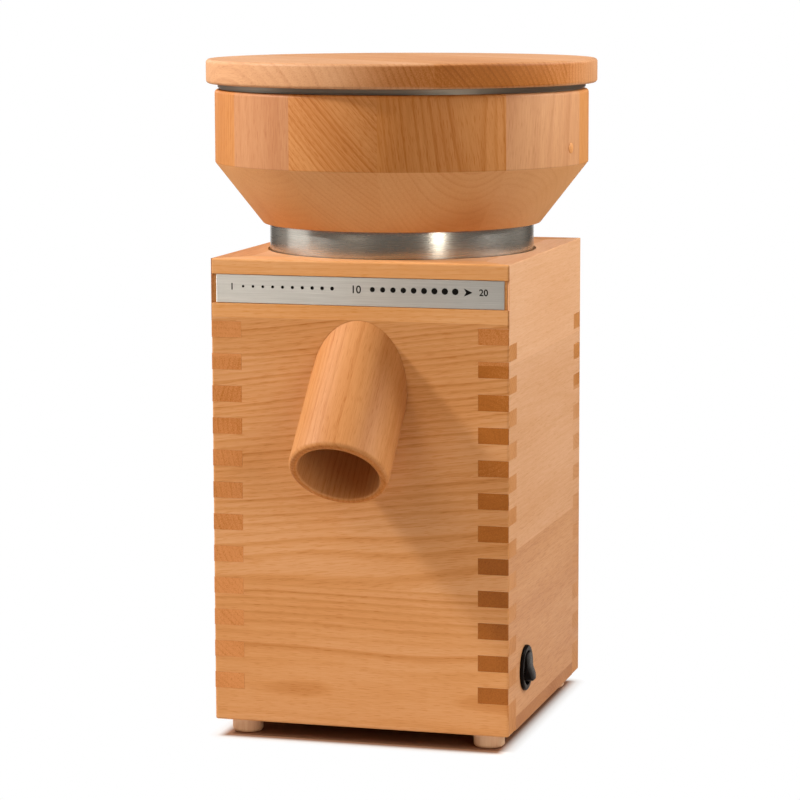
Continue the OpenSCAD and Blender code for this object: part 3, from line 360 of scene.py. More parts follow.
def beech_figure():
    """The figure of beech round a pith that runs along X, in millimetres: growth rings about 3 mm wide with a
    thin late-wood line, and the short dark rays, 2 to 6 mm long, that mark beech on every long face."""
    tree = bpy.data.node_groups.new("beech_figure", "ShaderNodeTree")
    for label, kind in (("Point", "Vector"), ("End grain", "Float"), ("End tone", "Float"), ("Tone", "Float"),
                        ("Warmth", "Float"), ("Ring strength", "Float")):
        tree.interface.new_socket(label, in_out="INPUT", socket_type="NodeSocket" + kind)
    for label, kind in (("Color", "Color"), ("Roughness", "Float"), ("Height", "Float")):
        tree.interface.new_socket(label, in_out="OUTPUT", socket_type="NodeSocket" + kind)
    given = tree.nodes.new("NodeGroupInput").outputs
    point = given["Point"]

    # the rings wander slowly along the tree
    drift = drawn_noise(tree, point, (0.004, 0.012, 0.012), 2.0, out="Color")
    centred = add(tree, "ShaderNodeVectorMath", {0: drift, 1: (0.5, 0.5, 0.5)}, operation="SUBTRACT")
    pushed = add(tree, "ShaderNodeVectorMath", {0: centred, "Scale": WANDER}, operation="SCALE")
    bent = add(tree, "ShaderNodeVectorMath", {0: point, 1: pushed}, operation="ADD")
    flat = add(tree, "ShaderNodeVectorMath", {0: bent, 1: (0, 1, 1)}, operation="MULTIPLY")
    radius = add(tree, "ShaderNodeVectorMath", {0: flat}, "Value", operation="LENGTH")
    phase = add(tree, "ShaderNodeMath", {0: radius, 1: RING_WIDTH}, operation="DIVIDE")
    saw = add(tree, "ShaderNodeMath", {0: phase}, operation="FRACT")
    late = add(tree, "ShaderNodeValToRGB", {0: saw}, stops=ramp(
        (0, 0), (0.45, 0.15), (0.8, 1), (0.92, 0.6), (1, 0)))
    year = add(tree, "ShaderNodeMath", {0: phase}, operation="FLOOR")
    luck = add(tree, "ShaderNodeTexWhiteNoise", {"W": year}, "Value", noise_dimensions="1D")
    clear_year = add(tree, "ShaderNodeMapRange", {"Value": luck, "To Min": 0.3, "To Max": 1.0})
    line = add(tree, "ShaderNodeMath", {0: late, 1: clear_year}, operation="MULTIPLY")
    drawn = add(tree, "ShaderNodeMath", {0: line, 1: given["Ring strength"]}, operation="MULTIPLY")

    # rays, fibres and broad changes of tone, each stretched along the grain
    ray_noise = drawn_noise(tree, point, (0.14, 2.2, 2.2), 1.0, 0.4)
    rays = add(tree, "ShaderNodeMapRange", {"Value": ray_noise, "From Min": 0.55, "From Max": 0.7},
               interpolation_type="SMOOTHSTEP")
    fibre = drawn_noise(tree, point, (0.05, 1.6, 1.6), 3.0, 0.65)
    broad = drawn_noise(tree, point, (0.006, 0.035, 0.035), 3.0)

    # all of them shift a lightness from dark to pale
    level = add(tree, "ShaderNodeMath", {0: given["Tone"], 1: 0.5}, operation="ADD")
    for part, share, middle in (
            (drawn, -0.26, 0.0), (rays, -0.09, 0.0), (fibre, 0.2, 0.5), (broad, 0.26, 0.5)):
        offset = add(tree, "ShaderNodeMath", {0: part, 1: middle}, operation="SUBTRACT")
        level = add(tree, "ShaderNodeMath", {0: offset, 1: share, 2: level}, operation="MULTIPLY_ADD")
    long_face = add(tree, "ShaderNodeValToRGB", {0: level}, stops=ramp(
        (0, "#8e4d1c"), (0.28, "#b47036"), (0.5, "#cf935b"), (0.72, "#e0ac7f"), (1, "#f4d2ae")))

    # end grain drinks more oil: darker and redder, with open pores just under a millimetre apart
    pore_noise = add(tree, "ShaderNodeTexNoise",
                     {"Vector": point, "Scale": 1.1, "Detail": 2.0, "Roughness": 0.7})
    pores = add(tree, "ShaderNodeMath", {0: pore_noise, 1: 0.5}, operation="SUBTRACT")
    darker = add(tree, "ShaderNodeMath", {0: level, 1: given["End tone"]}, operation="ADD")
    pored = add(tree, "ShaderNodeMath", {0: pores, 1: 0.25, 2: darker}, operation="MULTIPLY_ADD")
    end_face = add(tree, "ShaderNodeValToRGB", {0: pored}, stops=ramp(
        (0, "#82450f"), (0.3, "#af6822"), (0.5, "#cf8a50"), (0.75, "#dd9f64"), (1, "#e8b07a")))
    deeper = add(tree, "ShaderNodeMapRange",
                 {"Value": given["Warmth"], "From Min": -1.0, "To Min": 0.7, "To Max": 1.3})
    toned = add(tree, "ShaderNodeHueSaturation", {"Color": long_face, "Saturation": deeper})
    colour = add(tree, "ShaderNodeMix", {"Factor": given["End grain"], "A": toned, "B": end_face},
                 "Result", data_type="RGBA")
    rough = add(tree, "ShaderNodeMapRange", {"Value": fibre, "From Min": 0.3, "From Max": 0.7,
                                             "To Min": 0.62, "To Max": 0.5})
    hollow = add(tree, "ShaderNodeMath", {0: rays, 1: -0.6, 2: fibre}, operation="MULTIPLY_ADD")
    result = tree.nodes.new("NodeGroupOutput")
    for label, value in (("Color", colour), ("Roughness", rough), ("Height", hollow)):
        tree.links.new(value, result.inputs[label])
    return tree


BOARDS_LOW, BOARDS_HIGH = -160.0, 440.0     # between these, in millimetres, boards are told apart
PITH_REACH = 200.0                          # the furthest that a board's pith may be shifted, in millimetres
LOG_LENGTH = 900.0                          # boards are cut from a log of this length, in millimetres
STAVE_MIDDLE = (0, 0, 330)                  # the point that a stave's grain tilts about


def oiled_beech(name, grain, pith, boards, across=UP, staves=False, end_tone=-0.1, end_facing=(0.63, 0.96)):
    """Oiled solid beech: warm and satin, its grain running through the piece. grain is the way of the fibres
    and pith the point, in millimetres, that the rings go round. boards are glued side by side along across,
    or as staves round the mill axis, each (start, tone, warmth, tilt of the grain in degrees, shift of the
    pith sideways, inwards, strength of the rings). end_facing says between which cosines to the grain a face
    turns from long grain to end grain; a stave shows its end grain only where it faces down."""
    material, tree = new_material(name)
    point = point_in_mm(tree)
    normal = add(tree, "ShaderNodeTexCoord", out="Normal")
    low, high = (-180.0, 180.0) if staves else (BOARDS_LOW, BOARDS_HIGH)
    if staves:
        about, x, y, _ = about_axis(tree, point)
        ahead = add(tree, "ShaderNodeMath", {0: y, 1: -1.0}, operation="MULTIPLY")
        turn = add(tree, "ShaderNodeMath", {0: x, 1: ahead}, operation="ARCTAN2")
        along = add(tree, "ShaderNodeMath", {0: turn}, operation="DEGREES")
    else:
        about = point
        along = add(tree, "ShaderNodeVectorMath", {0: point, 1: across}, "Value", operation="DOT_PRODUCT")
    share = add(tree, "ShaderNodeMapRange", {"Value": along, "From Min": low, "From Max": high})
    # a board's numbers are looked up in two stepped ramps, each number moved into 0 to 1 and back
    ends = [row[0] for row in boards[1:]] + [high]
    stops_a, stops_b = [], []
    for (start, shade, warmth, tilt, sideways, inwards, strength), end in zip(boards, ends):
        spot = (start - low) / (high - low)
        middle = ((start + end) / 2 - low) / (high - low)
        stops_a.append((spot, (middle, shade / 2 + 0.5, tilt / 180 + 0.5, strength / 2)))
        stops_b.append((spot, (sideways / (2 * PITH_REACH) + 0.5, inwards / (2 * PITH_REACH) + 0.5,
                               warmth / 2 + 0.5, 1)))
    board_a = add(tree, "ShaderNodeValToRGB", {0: share}, stops=stops_a, hold=True)
    board_b = add(tree, "ShaderNodeValToRGB", {0: share}, stops=stops_b, hold=True)
    centre, shade, tilt = (add(tree, "ShaderNodeSeparateColor", {0: board_a}, i) for i in range(3))
    sideways, inwards, warmth = (add(tree, "ShaderNodeSeparateColor", {0: board_b}, i) for i in range(3))
    strength = board_a.node.outputs["Alpha"]

    if staves:
        back = add(tree, "ShaderNodeMapRange", {"Value": centre, "To Min": math.pi, "To Max": -math.pi})
        about = add(tree, "ShaderNodeVectorRotate", {"Vector": about, "Angle": back}, rotation_type="Z_AXIS")
    lean = add(tree, "ShaderNodeMapRange", {"Value": tilt, "To Min": -math.pi / 2, "To Max": math.pi / 2})
    leaning = add(tree, "ShaderNodeVectorRotate",
                  {"Vector": about, "Center": STAVE_MIDDLE if staves else pith, "Angle": lean},
                  rotation_type="Y_AXIS")
    x_way = Vector(grain).normalized()
    y_way = x_way.cross(Vector(UP) if abs(x_way.z) < 0.9 else Vector((0, 1, 0))).normalized()
    turned_to = Matrix((x_way, y_way, x_way.cross(y_way)))
    laid = add(tree, "ShaderNodeMapping", {
        "Vector": leaning, "Rotation": turned_to.to_euler("XYZ"), "Location": -(turned_to @ Vector(pith))})
    along_x = add(tree, "ShaderNodeMath", {0: centre, 1: LOG_LENGTH}, operation="MULTIPLY")
    shift_y, shift_z = (
        add(tree, "ShaderNodeMapRange", {"Value": value, "To Min": -PITH_REACH, "To Max": PITH_REACH})
        for value in (sideways, inwards))
    shift = add(tree, "ShaderNodeCombineXYZ", {"X": along_x, "Y": shift_y, "Z": shift_z})
    board_point = add(tree, "ShaderNodeVectorMath", {0: laid, 1: shift}, operation="ADD")

    facing = add(tree, "ShaderNodeVectorMath", {0: normal, 1: x_way}, "Value", operation="DOT_PRODUCT")
    size = add(tree, "ShaderNodeMath", {0: facing, 1: -1.0}, operation="MULTIPLY" if staves else "ABSOLUTE")
    end = add(tree, "ShaderNodeMapRange",
              {"Value": size, "From Min": end_facing[0], "From Max": end_facing[1]},
              interpolation_type="SMOOTHSTEP")
    tone, warm = (add(tree, "ShaderNodeMapRange", {"Value": value, "To Min": -1.0, "To Max": 1.0})
                  for value in (shade, warmth))
    drawn = add(tree, "ShaderNodeMath", {0: strength, 1: 2.0}, operation="MULTIPLY")
    wood = tree.nodes.new("ShaderNodeGroup")
    wood.node_tree = BEECH
    for label, value in (("Point", board_point), ("End grain", end), ("Tone", tone), ("Warmth", warm),
                         ("Ring strength", drawn)):
        tree.links.new(value, wood.inputs[label])
    wood.inputs["End tone"].default_value = end_tone
    relief = add(tree, "ShaderNodeBump",
                 {"Height": wood.outputs["Height"], "Strength": 0.25, "Distance": 0.1 * MM})
    shader = add(tree, "ShaderNodeBsdfPrincipled", {
        "Base Color": wood.outputs["Color"], "Roughness": wood.outputs["Roughness"], "Normal": relief,
        "Specular IOR Level": 0.25})
    close_material(tree, shader)
    return material


def brushed_steel(name, colour, roughness, round_piece, anisotropy):
    """Brushed stainless steel: grey and soft-bright, with hairlines along the sheet, or round it on a ring.
    They are drawn about 0.4 mm apart, since the real ones are too fine to show."""
    material, tree = new_material(name)
    point = point_in_mm(tree)
    if round_piece:
        _, x, y, height = about_axis(tree, point)
        turn = add(tree, "ShaderNodeMath", {0: x, 1: y}, operation="ARCTAN2")
        arc = add(tree, "ShaderNodeMath", {0: turn, 1: RING_R}, operation="MULTIPLY")
        point = add(tree, "ShaderNodeCombineXYZ", {"X": arc, "Y": 0.0, "Z": height})
    hairs = drawn_noise(tree, point, (0.03, 1.0, 2.6), 4.0, 0.75)
    wide = drawn_noise(tree, point, (0.02, 0.1, 0.2), 2.0)
    both = add(tree, "ShaderNodeMath", {0: wide, 1: 0.5, 2: hairs}, operation="MULTIPLY_ADD")
    tint, rough = (
        add(tree, "ShaderNodeMapRange", {"Value": both, "From Min": 0.45, "From Max": 1.05,
                                         "To Min": least, "To Max": most})
        for least, most in ((0.8, 1.08), (roughness + 0.07, roughness - 0.07)))
    base = add(tree, "ShaderNodeVectorMath", {0: hexed(colour)[:3], "Scale": tint}, operation="SCALE")
    relief = add(tree, "ShaderNodeBump", {"Height": hairs, "Strength": 0.35, "Distance": 0.04 * MM})
    along = add(tree, "ShaderNodeTangent", direction_type="RADIAL", axis="Z")
    close_material(tree, add(tree, "ShaderNodeBsdfPrincipled", {
        "Base Color": base, "Roughness": rough, "Metallic": 1.0, "Normal": relief, "Tangent": along,
        "Anisotropic": anisotropy, "Anisotropic Rotation": 0.25}))
    return material


def grained(name, colour, other, roughness, grain, relief=0.15, metallic=0.0, stretch=(1, 1, 1), spread=0.6,
            specular=0.5):
    """A surface of one stuff, mottled between two colours: grain is the size of its mottling in millimetres,
    stretch draws it out, and spread is small where the mottling is marked. Clouds 12 times as wide lie over
    it."""
    material, tree = new_material(name)
    place = add(tree, "ShaderNodeTexCoord", out="Object")
    scaled = add(tree, "ShaderNodeVectorMath", {0: place, 1: [s / MM for s in stretch]}, operation="MULTIPLY")
    fine = add(tree, "ShaderNodeTexNoise", {"Vector": scaled, "Scale": 1 / grain, "Detail": 3.0})
    cloudy = add(tree, "ShaderNodeTexNoise", {"Vector": scaled, "Scale": 0.08 / grain, "Detail": 2.0})
    mixed = add(tree, "ShaderNodeMath", {0: cloudy, 1: 0.6, 2: fine}, operation="MULTIPLY_ADD")
    share = add(tree, "ShaderNodeMapRange",
                {"Value": mixed, "From Min": 0.8 - spread / 2, "From Max": 0.8 + spread / 2})
    base = add(tree, "ShaderNodeMix", {"Factor": share, "A": hexed(colour), "B": hexed(other)},
               "Result", data_type="RGBA")
    rough = add(tree, "ShaderNodeMapRange", {
        "Value": fine, "From Min": 0.3, "From Max": 0.7,
        "To Min": roughness * 0.85, "To Max": min(1.0, roughness * 1.15)})
    bump = add(tree, "ShaderNodeBump", {"Height": fine, "Strength": relief, "Distance": 0.1 * grain * MM})
    close_material(tree, add(tree, "ShaderNodeBsdfPrincipled", {
        "Base Color": base, "Roughness": rough, "Normal": bump, "Metallic": metallic,
        "Specular IOR Level": specular}))
    return material


LATHE, DOTS, COPIES, BEECH = lathe_tree(), dots_tree(), copies_tree(), beech_figure()

# the case: boards with the grain across the front and back, and front to back in the sides. Each row is where
# the board starts, its tone, its warmth, the tilt of its grain, the shifts of its pith, its rings' strength.
# the front's boards are set lighter the higher they stand, the top one most: painted light from above; the top
# board is also a warmer, more orange board
FRONT_BOARDS = [(-160, 0.05, 0.05, 0, 0, -30, 0.7), (89, 0.08, 0.05, 7, 37, 20, 0.7),
                (244, 0.24, 0.45, 1, -60, -30, 0.3)]
LEFT_BOARDS = [(-160, -0.1, 0.0, 0, 20, 0, 0.3), (112, -0.14, 0.0, 1, -50, 30, 0.3),
               (222, -0.06, 0.0, -1, 90, -20, 0.3)]
# the switch side's boards are set lighter the higher they stand: painted light falling on that side from above
SIDE_BOARDS_PAINTED_TOP_LIGHT = [(-160, -0.02, -0.3, 0, 20, 0, 0.15), (112, 0.1, -0.3, 1, -50, 30, 0.2),
               (222, 0.22, -0.2, -1, 90, -20, 0.2)]
BACK_BOARDS = [(-160, 0.04, 0, 0, 30, 10, 0.5), (70, 0.1, -0.1, 1, -40, 25, 0.4),
               (188, 0.0, 0.1, -1, 70, -20, 0.5)]
PALE_ENDS = {"end_tone": -0.35, "end_facing": (0.7, 1.6)}
front_beech = oiled_beech("oiled_beech_front", (1, 0, 0), (0, -20, 60), FRONT_BOARDS, **PALE_ENDS)
back_beech = oiled_beech("oiled_beech_back", (1, 0, 0.01), (0, 150, 150), BACK_BOARDS, **PALE_ENDS)
side_beech = oiled_beech("oiled_beech_left_side", (0, 1, 0), (20, 0, 150), LEFT_BOARDS, end_tone=0.11)
dark_ended_beech_painted_top_light = oiled_beech("oiled_beech_right_side_painted_top_light", (0, 1, 0), (20, 0, 150), SIDE_BOARDS_PAINTED_TOP_LIGHT, end_tone=-0.3)
top_beech = oiled_beech("oiled_beech_top", (1, 0, 0), (0, 10, 215), [(-160, 0.08, -0.1, 0, 0, 0, 0.4)])
base_beech = oiled_beech("oiled_beech_base", (1, 0, 0), (0, 0, -70), [(-160, -0.08, -0.2, 0, 0, 0, 0.3)],
                         **PALE_ENDS)
foot_beech = oiled_beech("pale_beech_feet", UP, (0, 0, 0), [(-160, 0.46, -0.1, 0, 0, 0, 0.3)])
spout_beech = oiled_beech("oiled_beech_spout", (0, -COS45, -COS45), (-30, -60, 190),
                          [(-160, -0.05, 0.0, 0, 0, 0, 0.35)])
LID_BOARDS = [(-160, 0.03, -0.35, 0, 0, 0, 0.4), (-28, -0.03, -0.15, 0, 160, -20, 0.6),
              (62, 0.01, -0.3, 0, -120, 30, 0.4)]
lid_beech = oiled_beech("oiled_beech_lid", (COS45, -COS45, 0), (-250, -120, 310), LID_BOARDS,
                        across=(COS45, COS45, 0), end_tone=-0.13)
# the hopper's staves start at these degrees, counted from the front towards the switch's side
STAVES = [(-180, -0.04, 0, 2, 30, -200, 0.5), (-168, -0.07, 0, -3, -150, -110, 0.7),
          (-132, -0.03, 0, 4, 60, -180, 0.5), (-108, -0.1, 0, 0, 25, -150, 0.5),
          (-82, -0.14, 0.05, -2, 120, -110, 0.4), (-46, -0.14, -0.3, 1, 10, -195, 0.25),
          (-20, -0.09, 0.05, 42, 150, -110, 0.6), (8, -0.07, 0.1, 8, 25, -150, 0.5),
          (46.5, -0.02, -0.3, -3, -10, -60, 0.3), (84, -0.04, 0.1, 6, 60, -150, 0.5),
          (120, -0.07, 0, -8, -130, -110, 0.6), (156, -0.04, 0, 2, 30, -190, 0.5)]
# the cone under the hopper faces down and shows end grain set lighter than the sides (end_tone 0.38): partly
# the end grain that the slope bares, partly painted light thrown up from the table below
hopper_beech = oiled_beech("oiled_beech_hopper_painted_underlight", UP, (0, 0, 0), STAVES, staves=True, end_tone=0.38,
                           end_facing=(0.3, 0.62))

# stainless steel, brushed along the plate and round the rings
plate_steel = brushed_steel("brushed_steel_plate", "#dedfdc", 0.5, False, anisotropy=0.9)
ring_steel = brushed_steel("brushed_steel_ring", "#c6c1b7", 0.27, True, anisotropy=0.65)
# the band's steel is darker and browner than the ring's: painted shade under the lid's overhang, and a painted
# brown reflection of the wood round it
band_steel_painted_shade = brushed_steel("brushed_steel_band_painted_shade", "#aba193", 0.5, True, anisotropy=0.4)

FINISHES = {
    # rolled stainless sheet
    "brushed_stainless": plate_steel,
    # screws, clip and springs: zinc plating is bright with a faint blue and fine spangle
    "zinc_steel": grained("zinc_plated_steel", "#b9bec4", "#d3d6d8", 0.34, 0.6, metallic=0.9),
    # ground shaft and bearings: clean and close to mirror
    "bright_steel": grained("ground_steel", "#c2c2c0", "#d6d6d4", 0.24, 0.4, relief=0.05, metallic=1.0,
                            stretch=(1, 1, 6)),
    # the switch is moulded in glossy nylon, black with a hint of grey in its sheen
    "black_gloss_plastic": grained("glossy_black_nylon", "#0a0706", "#120d0b", 0.24, 0.8, relief=0.05,
                                   specular=0.03),
    # fan, funnel and gland: matt glass-filled nylon
    "black_plastic": grained("matt_black_nylon", "#161616", "#232323", 0.5, 0.3, relief=0.25),
    # milling chamber: cream ABS with the fine spark texture of its mould
    "cream_plastic": grained("cream_abs", "#d6cfbc", "#e4dfcf", 0.5, 0.35, relief=0.3),
    # stone carrier: tan glass-filled plastic
    "tan_plastic": grained("tan_moulded_plastic", "#b39468", "#c7aa80", 0.55, 0.5, relief=0.25),
    # the switch's terminals: rolled brass, yellow and softly bright
    "brass": grained("rolled_brass", "#b98f3f", "#d1ab5d", 0.32, 0.5, metallic=1.0),
    # shaft seal: pressed wool felt, dull and hairy
    "felt": grained("grey_felt", "#4d453e", "#6b6158", 0.95, 0.4, relief=0.8),
    # motor bells and stone carrier: sand-cast aluminium, grey and dull-bright
    "cast_aluminium": grained("cast_aluminium", "#9b9fa2", "#b7babc", 0.55, 0.7, relief=0.5, metallic=0.85),
    # stator and rotor: sheets stacked along the shaft, drawn 1.2 mm thick so that they show
    "lamination_steel": grained("stacked_motor_sheet", "#4d4f52", "#8b8e92", 0.5, 1.2, relief=0.4,
                                metallic=0.8, stretch=(0.1, 0.1, 1)),
    # windings: varnished copper wire laid round the core
    "copper": grained("varnished_copper_wire", "#7b3517", "#b8622f", 0.35, 0.7, relief=0.5, metallic=0.6,
                      stretch=(1, 1, 0.3)),
    # millstones: corundum grit in a ceramic bond, pale and rough as coarse sandpaper
    "corundum": grained("corundum_millstone", "#b9ab9c", "#e4dacb", 0.9, 0.9, relief=0.9, spread=0.35),
    # index mark: the end of a small oiled dowel, a shade deeper than the wall round it
    "index_wood": grained("oiled_dowel_end", "#c98548", "#e0a062", 0.5, 0.8),
    # capacitor: deep-drawn aluminium can
    "aluminium_can": grained("drawn_aluminium", "#c3c6c9", "#dcdedf", 0.3, 0.4, relief=0.1, metallic=0.95,
                             stretch=(1, 1, 0.1)),
    # leads: soft PVC, slightly glossy
    "lead_blue": grained("blue_pvc", "#2c4f96", "#3b62ad", 0.4, 0.5),
    "lead_brown": grained("brown_pvc", "#6d3121", "#84432f", 0.4, 0.5),
    "case_beech": side_beech, "foot_wood": foot_beech, "spout_beech": spout_beech,
    "hopper_beech": hopper_beech, "lid_beech": lid_beech,
}
# printing ink: near-black and matt, a trace uneven at its edges
ink = grained("black_screen_ink", "#0b0907", "#14110d", 0.6, 0.3, specular=0.1)
for node, thing in frame["nodes"].items():
    thing.data.materials.clear()
    thing.data.materials.append(FINISHES[SLOT_OF[node]])


# ---- case ----

CASE_EASING = 1.1                   # how much the case's arrises are broken
JOINT_SHARE = 0.15                  # the share of that which the edges in its joints get


def at_case_corner(a, b):
    """The full width for an edge on one of the case's outer arrises, and a little for one in a joint."""
    middle = (a + b) / 2
    gaps = (abs(middle.x) - CASE_X, abs(middle.y - MILL_Y) - CASE_Y,
            min(abs(middle.z - CASE_TOP), abs(middle.z - CASE_BOTTOM)))
    return 1.0 if sum(abs(gap) < 0.1 for gap in gaps) >= 2 else JOINT_SHARE


for node, beech in (("front_panel", front_beech), ("back_panel", back_beech), ("left_panel", side_beech),
                    ("right_panel", dark_ended_beech_painted_top_light), ("top_panel", top_beech), ("base_board", base_beech)):
    board = eased_copy(node.replace("_panel", "_wall"), node, beech, CASE_EASING, at_case_corner)
    hand_over(board, "housing", node)

FOOT_R = 9
POCKET_R, POCKET_H = 5, 4           # the pocket for the screw's head
SCREW_R = 2
foot = turned("foot", eased([
    (POCKET_R, 0, 0.4), (FOOT_R, 0, 2), (FOOT_R, CASE_BOTTOM, 0), (SCREW_R, CASE_BOTTOM, 0),
    (SCREW_R, POCKET_H, 0), (POCKET_R, POCKET_H, 0)]), foot_beech, segments=64, place=Matrix.Identity(4))
foot_low, foot_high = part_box("feet")
foot_points = points_object("foot_points", [
    (x, y, 0) for x in (foot_low.x / MM + FOOT_R, foot_high.x / MM - FOOT_R)
    for y in (foot_low.y / MM + FOOT_R, foot_high.y / MM - FOOT_R)])
feet = grown("turned_feet", COPIES, {"Piece": foot, "Points": foot_points}, foot_beech)
for helper in (foot, foot_points):
    bpy.data.objects.remove(helper)
hand_over(tidy_mesh(feet), "housing", "feet")

# ---- spout ----

SPOUT_Z = 205                       # height at which its axis meets the case's front
SPOUT_R, SPOUT_L = 28.5, 58.98
BORE_R, SEAT_R, SEAT_L = 23.5, 24.5, 11     # the bore, and its wider stretch inside the front wall
SPOUT_ROOT = -70                    # longer than it ends up, before it is cut
SPOUT_CUT = (CASE_FRONT + 10) * MM
spout_place = Matrix.Translation(Vector((0, CASE_FRONT, SPOUT_Z)) * MM) @ Matrix.Rotation(
    math.radians(135), 4, "X")
spout = turned("meal_spout", eased([
    (SEAT_R, SPOUT_ROOT, 0), (SPOUT_R, SPOUT_ROOT, 0), (SPOUT_R, SPOUT_L, 3), (BORE_R, SPOUT_L, 1.6),
    (BORE_R, SEAT_L, 0), (SEAT_R, SEAT_L, 0)], 8), spout_beech, place=spout_place)
away = Vector((0, COS45, COS45))
for vertex in spout.data.vertices:      # the root is cut upright, in the wall
    if vertex.co.y > SPOUT_CUT:
        vertex.co -= away * ((vertex.co.y - SPOUT_CUT) / COS45)
hand_over(spout, "housing", "spout")

# ---- scale plate ----

plate = eased_copy("scale_plate_steel", "scale_plate", plate_steel, 0.25)
hand_over(plate, "housing", "scale_plate")

PLATE_FACE = CASE_FRONT + 0.5       # the plate lies a little back from the case's front
INK_T = 0.06                        # thickness of the printing, which stands on the plate
INK_Y = PLATE_FACE - INK_T / 2      # the middle of that thickness
SCALE_Z = 263.3                     # height of the row of dots
LETTER_SIZE = 1.35                  # the font's size for numerals 1 mm high
BOLDER = 0.09                       # how far the numerals' outline is pushed out


def print_on_plate(piece):
    """Hands over a printed shape."""
    hand_over(tidy_mesh(piece), "housing", slot="black_plastic")


for name, count, start, step, first, last in (("fine_dots", 10, -68.7, 5.9, 0.75, 1.1),
                                              ("coarse_dots", 9, 8.2, 6.05, 1.45, 1.85)):
    print_on_plate(grown(name, DOTS, {
        "Count": count, "Start": Vector((start, INK_Y, SCALE_Z)) * MM, "Step": Vector((step, 0, 0)) * MM,
        "First radius": first * MM, "Last radius": last * MM, "Thickness": INK_T * MM}, ink))

arrow = bmesh.new()
arrow_face = arrow.faces.new([
    arrow.verts.new(Vector((x, INK_Y - INK_T / 2, SCALE_Z + z)) * MM)
    for x, z in ((66.6, -0.3), (61.6, 2.0), (62.9, -0.3), (61.6, -2.6))])
for item in bmesh.ops.extrude_face_region(arrow, geom=[arrow_face])["geom"]:
    if isinstance(item, bmesh.types.BMVert):
        item.co.y += INK_T * MM
arrow_mesh = written(arrow, "scale_arrowhead")
arrow_mesh.materials.append(ink)
print_on_plate(stood("scale_arrowhead", arrow_mesh))

for number, x, height in (("1", -75.4, 3.9), ("10", -1.5, 4.6), ("20", 73.0, 3.9)):
    lettering = bpy.data.curves.new("numeral_" + number, "FONT")
    lettering.body, lettering.align_x, lettering.align_y = number, "CENTER", "CENTER"
    lettering.size, lettering.extrude = height * LETTER_SIZE * MM, INK_T / 2 * MM
    lettering.offset = BOLDER * MM
    text = stood("numeral_" + number + "_text", lettering)
    mesh = evaluated(text)
    bpy.data.objects.remove(text)
    mesh.transform(Matrix.Translation(Vector((x, INK_Y, SCALE_Z - 0.4)) * MM) @ Matrix.Rotation(
        math.pi / 2, 4, "X"))
    mesh.materials.clear()
    mesh.materials.append(ink)
    print_on_plate(stood("numeral_" + number, mesh))

# ---- hopper, its ring and the lid ----

HOPPER_LOW, HOPPER_MID, HOPPER_RIM = 294.7, 330.6, 373.1
HOPPER_R, HOPPER_INNER_R, CONE_R, FUNNEL_R = 110, 97, 82, 24
STRAIGHT_L = 36                     # how far the inside goes straight down before it slopes to the funnel
FUNNEL_L = 8.3
hopper = turned("hopper_staves", eased([
    (FUNNEL_R, HOPPER_LOW, 0), (CONE_R, HOPPER_LOW, 1.2), (HOPPER_R, HOPPER_MID, 1.5),
    (HOPPER_R, HOPPER_RIM, 2), (HOPPER_INNER_R, HOPPER_RIM, 2), (HOPPER_INNER_R, HOPPER_RIM - STRAIGHT_L, 0),
    (FUNNEL_R, HOPPER_LOW + FUNNEL_L, 0)]), hopper_beech, smooth_below=25)
hand_over(hopper, "hopper", "hopper")

RING_INNER_R = 76.8
ring_low, ring_high = (corner.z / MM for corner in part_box("hopper_ring"))
ring = turned("hopper_ring_steel", eased([
    (RING_INNER_R, ring_low, 0.3), (RING_R, ring_low, 0.3), (RING_R, ring_high, 0.3),
    (RING_INNER_R, ring_high, 0.3)], 3), ring_steel)
hand_over(ring, "hopper", "hopper_ring")

BAND_R, BAND_INNER_R = 108.2, 106.6
REBATE_R, REBATE_H = 106.8, 0.9     # the band's lower edge steps back, which draws a dark joint on the rim
band_low, band_high = (corner.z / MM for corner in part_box("lid_band"))
band = turned("lid_band_steel", eased([
    (BAND_INNER_R, band_low, 0), (REBATE_R, band_low, 0), (REBATE_R, band_low + REBATE_H, 0),
    (BAND_R, band_low + REBATE_H, 0.2), (BAND_R, band_high, 0.3), (BAND_INNER_R, band_high, 0.3)], 3),
    band_steel_painted_shade)
hand_over(band, "lid", "lid_band")

LID_LOW, LID_TOP = 376.7, 390.8
LID_R, SPIGOT_R, BAND_SEAT_R = 115, 96.5, 106.4
spigot_low, band_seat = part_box("lid")[0].z / MM, band_low + 0.1
lid = turned("lid_board", [(0, spigot_low)] + eased([
    (0, spigot_low, 0), (SPIGOT_R, spigot_low, 1), (SPIGOT_R, band_seat, 0), (BAND_SEAT_R, band_seat, 0),
    (BAND_SEAT_R, LID_LOW, 0), (LID_R, LID_LOW, 2), (LID_R, LID_TOP, 2), (0, LID_TOP, 0)], 8)[1:],
    lid_beech, closed=False, smooth_below=25)
hand_over(lid, "lid", "lid")

# ---- springs under the upper stone, each pressed between the chamber's shelf and the stone's carrier ----

springs = tidy_mesh(stood("carrier_spring_wire", frame["nodes"]["carrier_springs"].data.copy()))
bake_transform(springs)
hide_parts("carrier_springs")

# ---- switch, cord gland and index mark: each with its edges eased by so much, in so many steps ----

for name, node, body, width, steps in (
        ("switch_bezel", "switch_body", "housing", 0.35, 3),
        ("switch_rocker_cap", "switch_rocker", "rocker", 0.6, 3),
        ("cord_gland_collar", "cord_gland", "housing", 0.6, 3),
        ("index_inlay", "index_dot", "hopper", 0.2, 2)):
    piece = eased_copy(name, node, FINISHES[SLOT_OF[node]], width, segments=steps, smooth_below=35)
    hand_over(piece, body, node)

# ---- floor, lights and camera, in metres ----

GROUND = (0.081, 0.092, 0)          # half the sides of the ground that the mill shades
WHITE_FROM = 0.012                  # distance from that ground at which the eye sees plain white
PAINTED_SHADOW_WITHIN = 0.006                # distance within which the floor is painted a dark brown shadow
AIM = Vector((0, 0, 0.2))           # the point that the lamps look at


